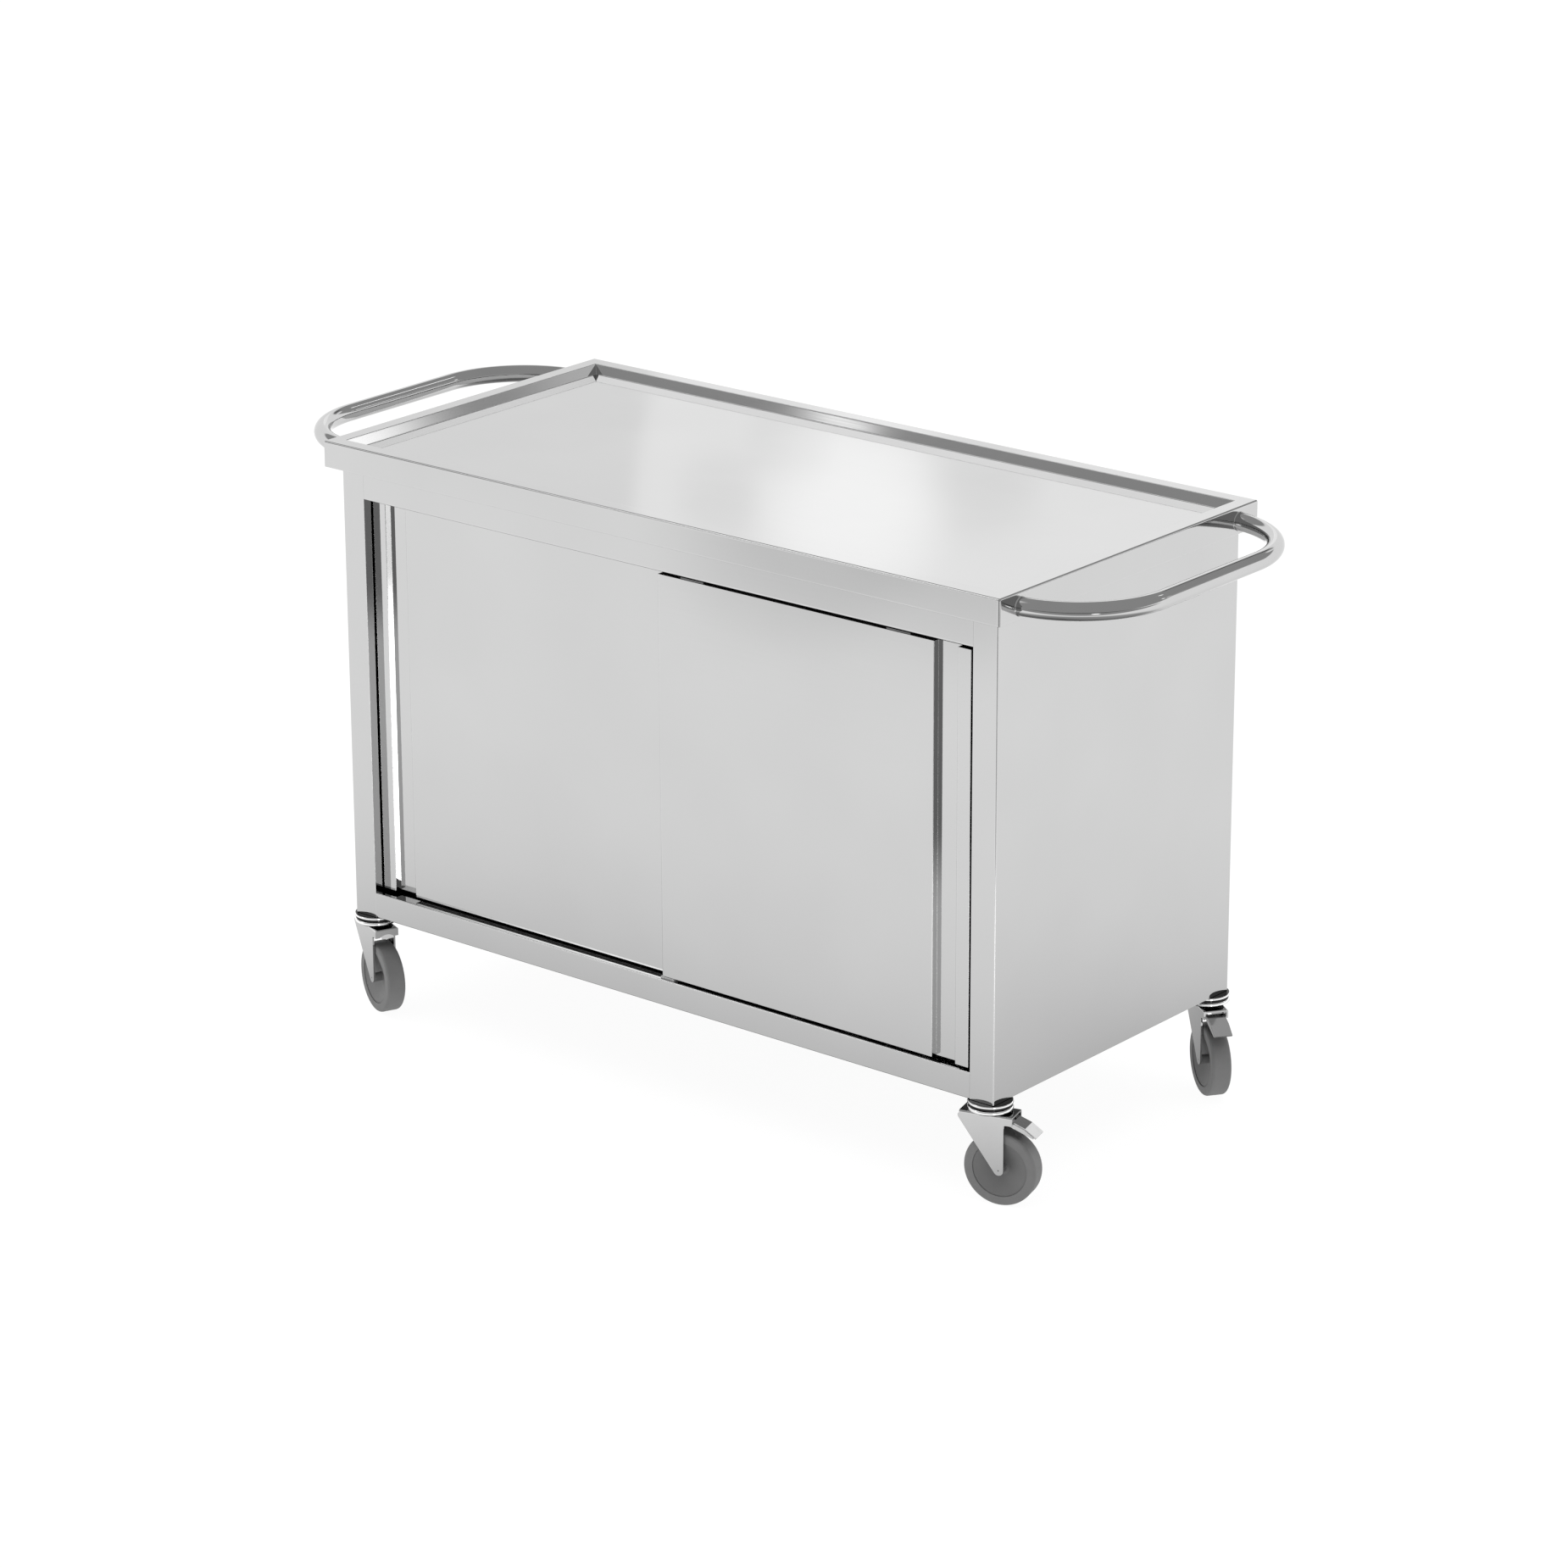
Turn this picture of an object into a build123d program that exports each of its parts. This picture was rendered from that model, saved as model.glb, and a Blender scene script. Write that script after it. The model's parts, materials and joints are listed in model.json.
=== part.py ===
"""Enclosed service trolley: folded steel cabinet, two sliding doors, four swivel casters.

Millimetres, +Z up, origin on the floor under the middle of the trolley.
The doors are at the front (-Y), the push handles at the two ends (-X and +X).
"""
import os
from math import cos, radians, sin, sqrt

from build123d import *

os.makedirs("parts", exist_ok=True)

# Overall sizes
top_length = 1200.0
top_depth = 580.0
total_height = 860.0
caster_height = 147.0
end_overhang = 17.0
front_overhang = 19.5

# Body sheet and its folds
sheet = 1.5
fold_inside = 1.0

# Top tray
apron_height = 38.0
rim_width = 23.0
tray_sink = 14.0
wall_run = 7.0
hem_width = 12.0
apron_corner = 2.0

# Stiffeners under the deck
stiffener_length = 1080.0
stiffener_spread = 200.0
stiffener_drop = 20.0
stiffener_web = 36.0
stiffener_flange = 12.0

# Push handles
handle_diameter = 25.4
handle_wall = 1.5
handle_reach = 125.0
handle_below_rim = 20.0
handle_bend = 140.0
handle_span = 494.0

# Cabinet frame
post_width = 40.0
post_return = 13.0
rear_flange = 30.0
top_rail_drop = 81.0
top_rail_hem = 5.0
top_rail_flange = 35.0
bottom_rail_height = 38.0
ledge_depth = 44.0
ledge_return = 15.0
bottom_rail_hem = 20.0
floor_flange = 25.0
panel_clearance = 1.5

# Middle shelf and its brackets
shelf_rise = 295.0
shelf_setback = 65.5
shelf_front_lip = 30.0
shelf_rear_lip = 20.0
bracket_leg = 25.0
bracket_length = 80.0
bracket_sheet = 2.0
bracket_spread = 300.0
bracket_shift = 30.0

# Doors
door_thickness = 12.0
door_sheet = 1.0
door_fold_inside = 0.5
front_recess = 2.5
door_gap = 1.5
door_clearance = 5.0
right_inner_end = 2.5
left_inner_end = 22.0
right_end_gap = 5.0
left_end_gap = 3.5
pull_flange = 22.0
pull_width = 39.0
bar_inset = 2.0
top_bar_height = 20.0
bar_sheet = 1.5
door_travel = 460.0

# Top track, hangers, rollers and stops
track_height = 30.0
track_top_web = 2.0
track_lip = 1.5
track_channel = 11.5
track_slot = 5.0
hanger_inset = 60.0
hanger_width = 40.0
hanger_plate = 2.5
hanger_foot = 2.5
hanger_above_axle = 10.0
hanger_corner = 8.0
roller_radius = 9.0
roller_width = 3.0
roller_side_gap = 0.4
roller_clearance = 0.3
roller_axle_radius = 2.5
running_fit = 0.05
stop_length = 15.0
stop_height = 20.0
stop_clearance = 0.5

# Centre guide on the ledge and the channel it runs in
guide_x = 10.0
guide_length = 24.0
guide_base = 3.0
guide_margin = 4.0
fin_length = 8.0
fin_thickness = 3.0
fin_height = 10.0
fin_side_gap = 0.5
guide_channel_height = 14.0
guide_channel_slot = 11.0

# Casters
caster_inset = 20.0
wheel_radius = 52.0
wheel_width = 28.0
tyre_inner_radius = 39.0
tyre_shoulder = 4.0
hub_width = 25.0
hub_rim = 2.5
hub_web = 6.0
hub_dish = 26.0
boss_radius = 6.5
boss_gap = 0.3
axle_radius = 4.0
axle_fit = 0.08
dimple_radius = 1.3
dimple_depth = 2.5
caster_trail = 19.0
swivel_head = 19.0
neck_radius = 16.0
neck_height = 3.0
upper_race_radius = 30.5
upper_race_height = 7.3
upper_race_round = 3.4
race_gap = 0.4
lower_race_radius = 31.5
lower_race_round = 3.0
fork_sheet = 2.5
fork_inside = 31.0
fork_fold_inside = 1.5
fork_tip = 7.0
fork_lead = 38.0
fork_shoulder = 34.0
fork_shoulder_drop = 7.0
fork_shoulder_round = 6.0
fork_tail = 37.7
fork_lip = 10.5
lip_arch_radius = 17.0
lip_arch_rise = 4.0
swivel_bolt_radius = 6.0
swivel_bolt_fit = 0.3
bolt_head_flats = 19.0
bolt_head_height = 7.5
nut_flats = 18.0
nut_height = 10.0
bolt_end = 3.0
mount_plate = 6.0
mount_plate_depth = 39.0
mount_plate_round = 2.0
front_right_turn = 15.5
front_left_turn = -23.3
rear_right_turn = -35.7
rear_left_turn = -25.0

# Brake pedals
pedal_width = 26.0
pedal_sheet = 2.5
pedal_fold = 3.0
pedal_start = (39.0, 24.3)
pedal_knee = (55.1, 30.3)
pedal_tip = (71.1, 41.3)
pivot_x = 32.0
pivot_drop = 26.0
pivot_radius = 2.0
pivot_fit = 0.06
ear_radius = 4.0
skirt_low = (66.3, 43.6)
skirt_high = (68.2, 40.8)
pad_start = 39.5
pad_end = 48.0
pad_width = 20.0
pad_clearance = 0.3
brake_angle = 13.0

# Levels and faces that follow from the sizes above
body_x = top_length / 2 - end_overhang
body_y = top_depth / 2 - front_overhang
inner_x = body_x - sheet
inner_y = body_y - sheet
fold = sheet + fold_inside
door_fold = door_sheet + door_fold_inside
opening_x = body_x - post_width
rim_under = total_height - sheet
deck_top = total_height - tray_sink
deck_under = deck_top - sheet
apron_bottom = total_height - apron_height
opening_top = total_height - top_rail_drop
opening_bottom = caster_height + bottom_rail_height
ledge_back = ledge_depth - body_y
back_inner = inner_y - sheet
shelf_top = opening_bottom + shelf_rise
door_top = opening_top - door_clearance
door_bottom = opening_bottom + door_clearance
right_face_y = front_recess - body_y
left_face_y = right_face_y + door_thickness + door_gap
right_middle_y = right_face_y + door_thickness / 2
left_middle_y = left_face_y + door_thickness / 2
track_top = deck_under - sheet
track_bottom = track_top - track_height
lip_top = track_bottom + track_lip
roller_z = lip_top + roller_clearance + roller_radius
pivot_end = body_x - caster_inset
pivot_row = body_y - caster_inset
fork_top = caster_height - swivel_head
fork_half = fork_inside / 2 + fork_sheet
axle_z = wheel_radius


def block(x0, x1, y0, y1, z0, z1):
    """Plain block between two opposite corners."""
    size = Box(x1 - x0, y1 - y0, z1 - z0)
    return Pos((x0 + x1) / 2, (y0 + y1) / 2, (z0 + z1) / 2) * size


def folded_face(points, thickness, radius):
    """Cross-section of a folded sheet that lies on the left of the line through the points."""
    line = FilletPolyline(*points, radius=radius)
    band = offset(line, amount=thickness, side=Side.LEFT)
    return make_face(band.edges())


def folded_along_x(points, thickness, radius, length):
    """Folded sheet with a (y, z) cross-section, centred on x = 0."""
    return extrude(Plane.YZ * folded_face(points, thickness, radius), amount=length / 2, both=True)


def rod_along_y(x, z, radius, length):
    """Round rod across the trolley, centred on y = 0."""
    return Pos(x, 0, z) * Rot(90, 0, 0) * Cylinder(radius, length)


def round_outside(shape, radius, count):
    """Round the largest circular edges of a turned piece."""
    circles = shape.edges().filter_by(GeomType.CIRCLE).sort_by(SortBy.RADIUS)
    return fillet(circles[-count:], radius)


def mirrored(shape):
    """The same piece for the other end of the trolley."""
    return mirror(shape, about=Plane.YZ)


def save(name, *shapes):
    """Write one node, which may be a group of separate solids."""
    solids = []
    for shape in shapes:
        solids.extend(shape.solids())
    export_step(Compound(children=solids) if len(solids) > 1 else solids[0], "parts/" + name + ".step")


def top_tray():
    """Folded tray: apron with a hem, flat rim, sloped wall and a sunk deck."""
    shell = block(-top_length / 2, top_length / 2, -top_depth / 2, top_depth / 2, apron_bottom, total_height)
    shell = fillet(shell.edges().filter_by(Axis.Z), apron_corner)
    shell = fillet(shell.faces().sort_by(Axis.Z)[-1].edges(), apron_corner)
    x_inside = top_length / 2 - sheet
    y_inside = top_depth / 2 - sheet
    shell -= block(-x_inside, x_inside, -y_inside, y_inside, apron_bottom + sheet, rim_under)
    x_hem = top_length / 2 - hem_width
    y_hem = top_depth / 2 - hem_width
    shell -= block(-x_hem, x_hem, -y_hem, y_hem, apron_bottom, apron_bottom + sheet)
    length = top_length - 2 * rim_width
    depth = top_depth - 2 * rim_width
    hollow_top = Pos(0, 0, total_height) * Rectangle(length, depth)
    hollow_deck = Pos(0, 0, deck_top) * Rectangle(length - 2 * wall_run, depth - 2 * wall_run)
    wall = 2 * sheet * sqrt(wall_run ** 2 + tray_sink ** 2) / tray_sink
    run_down = 2 * wall_run * (total_height - deck_under) / tray_sink
    pan_top = Pos(0, 0, total_height) * Rectangle(length + wall, depth + wall)
    pan_deck = Pos(0, 0, deck_under) * Rectangle(length + wall - run_down, depth + wall - run_down)
    return shell + loft([pan_top, pan_deck]) - loft([hollow_top, hollow_deck])


def deck_stiffener(y):
    """Hat profile under the deck."""
    foot = stiffener_web / 2 + stiffener_flange
    side = stiffener_web / 2
    low = deck_under - stiffener_drop
    points = [(foot, deck_under), (side, deck_under), (side, low)]
    points += [(-side, low), (-side, deck_under), (-foot, deck_under)]
    return Pos(0, y, 0) * folded_along_x(points, sheet, fold, stiffener_length)


def push_handle():
    """Bent tube on the right end, cut flush with the apron."""
    centre_x = top_length / 2 + handle_reach
    centre_z = total_height - handle_below_rim
    start_x = centre_x - 2 * handle_bend
    half = handle_span / 2
    corners = [(start_x, -half), (centre_x, -half), (centre_x, half), (start_x, half)]
    path = Pos(0, 0, centre_z) * FilletPolyline(*corners, radius=handle_bend)
    start = Plane((start_x, -half, centre_z), x_dir=(0, 1, 0), z_dir=(1, 0, 0))
    tube = sweep(start * Circle(handle_diameter / 2), path=path)
    tube -= sweep(start * Circle(handle_diameter / 2 - handle_wall), path=path)
    return tube - block(0, top_length / 2, -top_depth, top_depth, 0, 2 * total_height)


def side_panel():
    """Right end of the cabinet with the front post and the rear flange folded from one sheet."""
    points = [(opening_x, post_return - body_y), (opening_x, -body_y), (body_x, -body_y)]
    points += [(body_x, body_y), (body_x - rear_flange, body_y)]
    panel = extrude(folded_face(points, sheet, fold), amount=rim_under - caster_height)
    panel = Pos(0, 0, caster_height) * panel
    relief_x = opening_x + fold + sheet
    return panel - block(0, relief_x, -inner_y, 0, deck_under, total_height)


def back_panel():
    """Flat sheet inside the rear flanges."""
    half = inner_x - panel_clearance
    return block(-half, half, back_inner, inner_y, caster_height, deck_under)


def floor_panel():
    """Cabinet floor with a flange down at the front and at the rear."""
    low = opening_bottom - floor_flange
    points = [(back_inner, low), (back_inner, opening_bottom)]
    points += [(ledge_back, opening_bottom), (ledge_back, low)]
    return folded_along_x(points, sheet, fold, 2 * inner_x)


def top_rail():
    """Front rail over the doors, its flange carries the track."""
    back = top_rail_flange - body_y
    hem = top_rail_hem - body_y
    points = [(back, deck_under), (-body_y, deck_under), (-body_y, opening_top), (hem, opening_top)]
    return folded_along_x(points, sheet, fold, 2 * opening_x)


def bottom_rail():
    """Front rail under the doors with the ledge."""
    low = opening_bottom - ledge_return
    hem = bottom_rail_hem - body_y
    points = [(ledge_back, low), (ledge_back, opening_bottom), (-body_y, opening_bottom)]
    points += [(-body_y, caster_height), (hem, caster_height)]
    return folded_along_x(points, sheet, fold, 2 * opening_x)


def mid_shelf():
    """Shelf with a deep front lip."""
    front = shelf_setback - body_y
    points = [(back_inner, shelf_top - shelf_rear_lip), (back_inner, shelf_top)]
    points += [(front, shelf_top), (front, shelf_top - shelf_front_lip)]
    return folded_along_x(points, sheet, fold, 2 * inner_x)


def shelf_bracket(y):
    """Angle on the right side panel under the shelf."""
    seat = shelf_top - sheet
    points = [(inner_x, seat - bracket_leg), (inner_x, seat), (inner_x - bracket_leg, seat)]
    section = Plane.XZ * folded_face(points, bracket_sheet, bracket_sheet + fold_inside)
    return Pos(0, y, 0) * extrude(section, amount=bracket_length / 2, both=True)


def door_track():
    """Double track: two channels, each with a slot between two lips."""
    wall = (door_thickness + door_gap - track_channel) / 2
    front = -inner_y
    back = left_middle_y + track_channel / 2 + wall
    track = block(-opening_x, opening_x, front, back, track_bottom, track_top)
    top_front = track.edges().filter_by(Axis.X).group_by(Axis.Z)[-1].sort_by(Axis.Y)[0]
    track = chamfer(top_front, fold_inside)
    for middle in (right_middle_y, left_middle_y):
        half = track_channel / 2
        roof = track_top - track_top_web
        track -= block(-opening_x, opening_x, middle - half, middle + half, lip_top, roof)
        half = track_slot / 2
        track -= block(-opening_x, opening_x, middle - half, middle + half, track_bottom, lip_top)
    return track


def door_stop(x, toward, middle):
    """Rubber stop that meets a hanger whose middle is at x, on the side named by toward."""
    near = x + toward * (hanger_width / 2 + stop_clearance)
    far = near + toward * stop_length
    half = track_channel / 2
    stop_top = lip_top + stop_height
    return block(min(near, far), max(near, far), middle - half, middle + half, lip_top, stop_top)


def door_guide():
    """Nylon guide on the ledge with one fin under each door."""
    x0 = guide_x - guide_length / 2
    x1 = guide_x + guide_length / 2
    base_top = opening_bottom + guide_base
    front = right_middle_y - guide_margin
    back = left_middle_y + guide_margin
    guide = block(x0, x1, front, back, opening_bottom, base_top)
    for middle in (right_middle_y, left_middle_y):
        x0 = guide_x - fin_length / 2
        x1 = guide_x + fin_length / 2
        half = fin_thickness / 2
        guide += block(x0, x1, middle - half, middle + half, base_top, base_top + fin_height)
    return guide


def door_front(length):
    """Front skin: flat face, full-height pull channel and end flange, folded from one sheet."""
    back = door_thickness - door_sheet
    deep = back - door_sheet
    face_end = length - pull_flange - pull_width
    flange_start = length - pull_flange
    points = [(0, back), (0, 0), (face_end, 0), (face_end, deep), (flange_start, deep), (flange_start, 0)]
    points += [(length, 0), (length, back)]
    section = folded_face(points, door_sheet, door_fold)
    return Pos(0, 0, door_bottom) * extrude(section, amount=door_top - door_bottom)


def door_back(length):
    """Flat back skin."""
    return block(0, length, door_thickness - door_sheet, door_thickness, door_bottom, door_top)


def bar_ends(length):
    """Both ends of the bars that lie inside the face of a door."""
    return bar_inset, length - pull_flange - pull_width - bar_inset


def door_top_bar(length):
    """Channel inside the top of a door that carries the hangers."""
    start, end = bar_ends(length)
    near = door_sheet
    far = door_thickness - door_sheet
    low = door_top - top_bar_height
    points = [(far, low), (far, door_top), (near, door_top), (near, low)]
    bar = folded_along_x(points, bar_sheet, bar_sheet + fold_inside, end - start)
    return Pos((start + end) / 2, 0, 0) * bar


def door_guide_channel(length):
    """Slotted strip inside the bottom of a door."""
    start, end = bar_ends(length)
    back = door_thickness - door_sheet
    strip = block(start, end, door_sheet, back, door_bottom, door_bottom + guide_channel_height)
    half = fin_thickness / 2 + fin_side_gap
    middle = door_thickness / 2
    slot_top = door_bottom + guide_channel_slot
    return strip - block(start, end, middle - half, middle + half, door_bottom, slot_top)


def hanger_places(length):
    """Middles of the two hangers, measured from the inner end of a door."""
    return hanger_inset, length - pull_flange - pull_width - hanger_inset


def door_hanger(place):
    """Foot on the top bar and an upright plate with the roller bore."""
    x0 = place - hanger_width / 2
    x1 = place + hanger_width / 2
    middle = door_thickness / 2
    half = hanger_plate / 2
    plate = block(x0, x1, middle - half, middle + half, door_top, roller_z + hanger_above_axle)
    plate = fillet(plate.edges().filter_by(Axis.Y).sort_by(Axis.Z)[-2:], hanger_corner)
    foot = block(x0, x1, door_sheet, door_thickness - door_sheet, door_top, door_top + hanger_foot)
    bore = rod_along_y(place, roller_z, roller_axle_radius + running_fit, 2 * hanger_plate)
    return plate + foot - Pos(0, middle, 0) * bore


def door_roller(place):
    """Spool of two discs on one axle through the hanger."""
    inside = hanger_plate + 2 * roller_side_gap
    outside = inside + 2 * roller_width
    spool = rod_along_y(place, roller_z, roller_radius, outside)
    spool -= rod_along_y(place, roller_z, roller_radius, inside)
    spool += rod_along_y(place, roller_z, roller_axle_radius, outside)
    return Pos(0, door_thickness / 2, 0) * spool


def save_door(side, inner_end, length, face_y):
    """Write the nodes of one door; the left door is folded the other way round."""
    near, far = hanger_places(length)
    pieces = {
        "front": [door_front(length)],
        "back": [door_back(length)],
        "top_bar": [door_top_bar(length)],
        "guide_channel": [door_guide_channel(length)],
        "hangers": [door_hanger(near), door_hanger(far)],
        "inner_roller": [door_roller(near)],
        "outer_roller": [door_roller(far)],
    }
    for name, shapes in pieces.items():
        if side == "left":
            shapes = [mirrored(shape) for shape in shapes]
        save(side + "_door_" + name, *[Pos(inner_end, face_y, 0) * shape for shape in shapes])


def mount_plate_at(end, row):
    """Corner plate inside the bottom of the cabinet; end and row are the signs of its corner."""
    if row < 0:
        plate = block(opening_x + sheet, inner_x, -inner_y, mount_plate_depth - inner_y, 0, mount_plate)
    else:
        plate = block(opening_x + sheet, inner_x, back_inner - mount_plate_depth, back_inner, 0, mount_plate)
    plate = fillet(plate.edges().filter_by(Axis.Z), mount_plate_round)
    bore = Cylinder(swivel_bolt_radius, 3 * mount_plate)
    plate -= Pos(pivot_end, row * pivot_row, 0) * bore
    plate = Pos(0, 0, caster_height) * plate
    return mirrored(plate) if end < 0 else plate


def upper_race():
    """Fixed upper race with its neck, in the caster's own place."""
    low = fork_top + lower_race_height() + race_gap
    race = Pos(0, 0, low + upper_race_height / 2) * Cylinder(upper_race_radius, upper_race_height)
    race = round_outside(race, upper_race_round, 2)
    race += Pos(0, 0, caster_height - neck_height / 2) * Cylinder(neck_radius, neck_height)
    return race - Pos(0, 0, caster_height) * Cylinder(swivel_bolt_radius, 2 * swivel_head)


def lower_race_height():
    """Height left for the lower race between the fork and the upper race."""
    return swivel_head - neck_height - upper_race_height - race_gap


def lower_race():
    """Race on the fork, turns with it."""
    height = lower_race_height()
    race = round_outside(Cylinder(lower_race_radius, height), lower_race_round, 2)
    race -= Cylinder(swivel_bolt_radius + swivel_bolt_fit, 2 * height)
    return Pos(0, 0, fork_top + height / 2) * race


def swivel_bolt():
    """Bolt up through the races and the corner plate, head under the fork plate."""
    head_top = fork_top - fork_sheet - swivel_bolt_fit
    shank_top = caster_height + mount_plate + nut_height + bolt_end
    head = extrude(RegularPolygon(bolt_head_flats / 2, 6, major_radius=False), amount=bolt_head_height)
    shank = Cylinder(swivel_bolt_radius, shank_top - head_top)
    return Pos(0, 0, head_top - bolt_head_height) * head + Pos(0, 0, (shank_top + head_top) / 2) * shank


def swivel_nut():
    """Nut on the corner plate."""
    nut = extrude(RegularPolygon(nut_flats / 2, 6, major_radius=False), amount=nut_height)
    return Pos(0, 0, caster_height + mount_plate) * (nut - Cylinder(swivel_bolt_radius, 3 * nut_height))


def caster_fork(braked):
    """Folded fork: top plate, two slanted legs, and a tail lip where there is no pedal."""
    low = axle_z - fork_tip
    section = folded_face(
        [(fork_half, low), (fork_half, fork_top), (-fork_half, fork_top), (-fork_half, low)],
        fork_sheet, fork_sheet + fork_fold_inside)
    reach = fork_shoulder + fork_shoulder_round
    fork = Pos(-reach, 0, 0) * extrude(Plane.YZ * section, amount=reach + fork_tail)
    tip = Pos(caster_trail, axle_z) * Circle(fork_tip)
    shoulder = Pos(-fork_shoulder, fork_top - fork_shoulder_drop) * Circle(fork_shoulder_round)
    crown = Line((-fork_lead, fork_top), (caster_trail + fork_tip, fork_top))
    leg = make_hull(tip.edges() + shoulder.edges() + crown.edges())
    lip_low = fork_top - fork_lip
    tail = block(caster_trail, fork_tail, -fork_half, fork_half, lip_low, fork_top)
    fork &= extrude(Plane.XZ * leg, amount=2 * fork_half, both=True) + tail
    if not braked:
        half = fork_inside / 2
        lip = block(fork_tail - fork_sheet, fork_tail, -half, half, lip_low, fork_top - fork_sheet)
        arch = Rot(0, 90, 0) * Cylinder(lip_arch_radius, 4 * fork_sheet)
        fork += lip - Pos(fork_tail, 0, lip_low + lip_arch_rise - lip_arch_radius) * arch
    fork -= Pos(0, 0, fork_top) * Cylinder(swivel_bolt_radius + swivel_bolt_fit, 4 * fork_sheet)
    fork -= rod_along_y(caster_trail, axle_z, axle_radius, 4 * fork_half)
    if braked:
        fork -= rod_along_y(pivot_x, caster_height - pivot_drop, pivot_radius, 4 * fork_half)
    return fork


def wheel_axle():
    """Riveted axle, flush with the fork, with a centre dimple at both ends."""
    axle = rod_along_y(caster_trail, axle_z, axle_radius, 2 * fork_half)
    for end in (-1, 1):
        y = end * (fork_half - dimple_depth / 2)
        axle -= Pos(0, y, 0) * rod_along_y(caster_trail, axle_z, dimple_radius, dimple_depth)
    return axle


def wheel_tyre():
    """Rounded tyre ring."""
    tyre = round_outside(rod_along_y(caster_trail, axle_z, wheel_radius, wheel_width), tyre_shoulder, 2)
    return tyre - rod_along_y(caster_trail, axle_z, tyre_inner_radius, 2 * wheel_width)


def wheel_hub():
    """Hub with a thin rim, a dished web on both sides and a boss toward each fork leg."""
    hub = rod_along_y(caster_trail, axle_z, tyre_inner_radius, hub_width)
    rim_inside = tyre_inner_radius - hub_rim
    depth = (hub_width - hub_web) / 2
    dish = Pos(0, 0, (hub_web + depth) / 2) * Cone(rim_inside - hub_dish, rim_inside, depth)
    for turn in (90, -90):
        hub -= Pos(caster_trail, 0, axle_z) * Rot(turn, 0, 0) * dish
    hub += rod_along_y(caster_trail, axle_z, boss_radius, fork_inside - 2 * boss_gap)
    return hub - rod_along_y(caster_trail, axle_z, axle_radius + axle_fit, 2 * fork_inside)


def brake_pedal():
    """Bent pedal whose two skirts run back to ears on the pivot pin."""
    drops = [(x, caster_height - drop) for x, drop in (pedal_tip, pedal_knee, pedal_start)]
    section = Plane.XZ * folded_face(drops, pedal_sheet, pedal_fold)
    plate = extrude(section, amount=pedal_width / 2, both=True)
    knee_z = caster_height - pedal_knee[1]
    pivot_z = caster_height - pivot_drop
    knuckle = Pos(pivot_x, pivot_z) * Circle(ear_radius)
    low = (skirt_low[0], caster_height - skirt_low[1])
    high = (skirt_high[0], caster_height - skirt_high[1])
    edge = Line((pedal_knee[0], knee_z - pedal_sheet), low)
    end = Line(low, high)
    skirt = make_hull(knuckle.edges() + edge.edges() + end.edges())
    skirts = extrude(Plane.XZ * skirt, amount=pedal_width / 2, both=True)
    inside = pedal_width / 2 - pedal_sheet
    skirts -= block(-wheel_radius, 2 * wheel_radius, -inside, inside, 0, caster_height)
    return plate + skirts - rod_along_y(pivot_x, pivot_z, pivot_radius + pivot_fit, 2 * pedal_width)


def brake_pad():
    """Rubber pad under the plate; its hollow face fits round the tyre when the pedal is pressed."""
    fall = (pedal_knee[1] - pedal_start[1]) / (pedal_knee[0] - pedal_start[0])
    drop = pedal_sheet * sqrt(1 + fall ** 2)
    top = [(x, caster_height - pedal_start[1] - fall * (x - pedal_start[0]) - drop) for x in (pad_start, pad_end)]
    face = Polygon((pad_start, axle_z), (pad_end, axle_z), top[1], top[0], align=None)
    pad = extrude(Plane.XZ * face, amount=pad_width / 2, both=True)
    pivot_z = caster_height - pivot_drop
    reach_x = caster_trail - pivot_x
    reach_z = axle_z - pivot_z
    turn_cos = cos(radians(brake_angle))
    turn_sin = sin(radians(brake_angle))
    pressed_x = pivot_x + reach_x * turn_cos - reach_z * turn_sin
    pressed_z = pivot_z + reach_x * turn_sin + reach_z * turn_cos
    return pad - rod_along_y(pressed_x, pressed_z, wheel_radius + pad_clearance, 2 * pad_width)


def pivot_pin():
    """Pin of the pedal, flush with the fork."""
    return rod_along_y(pivot_x, caster_height - pivot_drop, pivot_radius, 2 * fork_half)


# Corner, signs of its end and row, turn of the fork about its swivel, brake or not
casters = [
    ("front_right", 1, -1, front_right_turn, True),
    ("front_left", -1, -1, front_left_turn, False),
    ("rear_right", 1, 1, rear_right_turn, True),
    ("rear_left", -1, 1, rear_left_turn, False),
]

# Cabinet
save("top_tray", top_tray())
save("deck_stiffeners", *[deck_stiffener(side * stiffener_spread / 2) for side in (-1, 1)])
save("handle_right", push_handle())
save("handle_left", mirrored(push_handle()))
save("side_panel_right", side_panel())
save("side_panel_left", mirrored(side_panel()))
save("back_panel", back_panel())
save("floor_panel", floor_panel())
save("top_rail", top_rail())
save("bottom_rail", bottom_rail())
save("mid_shelf", mid_shelf())
brackets = [shelf_bracket(bracket_shift + row * bracket_spread / 2) for row in (-1, 1)]
save("shelf_brackets", *brackets, *[mirrored(bracket) for bracket in brackets])
save("door_track", door_track())
save("door_guide", door_guide())

# Doors and the stops in their tracks
right_length = opening_x - right_end_gap - right_inner_end
left_length = opening_x - left_end_gap + left_inner_end
save_door("right", right_inner_end, right_length, right_face_y)
save_door("left", left_inner_end, left_length, left_face_y)
right_near, right_far = hanger_places(right_length)
left_near, left_far = hanger_places(left_length)
save(
    "door_stops",
    door_stop(right_inner_end + right_far, 1, right_middle_y),
    door_stop(right_inner_end + right_near - door_travel, -1, right_middle_y),
    door_stop(left_inner_end - left_far, -1, left_middle_y),
    door_stop(left_inner_end - left_near + door_travel, 1, left_middle_y),
)

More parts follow.
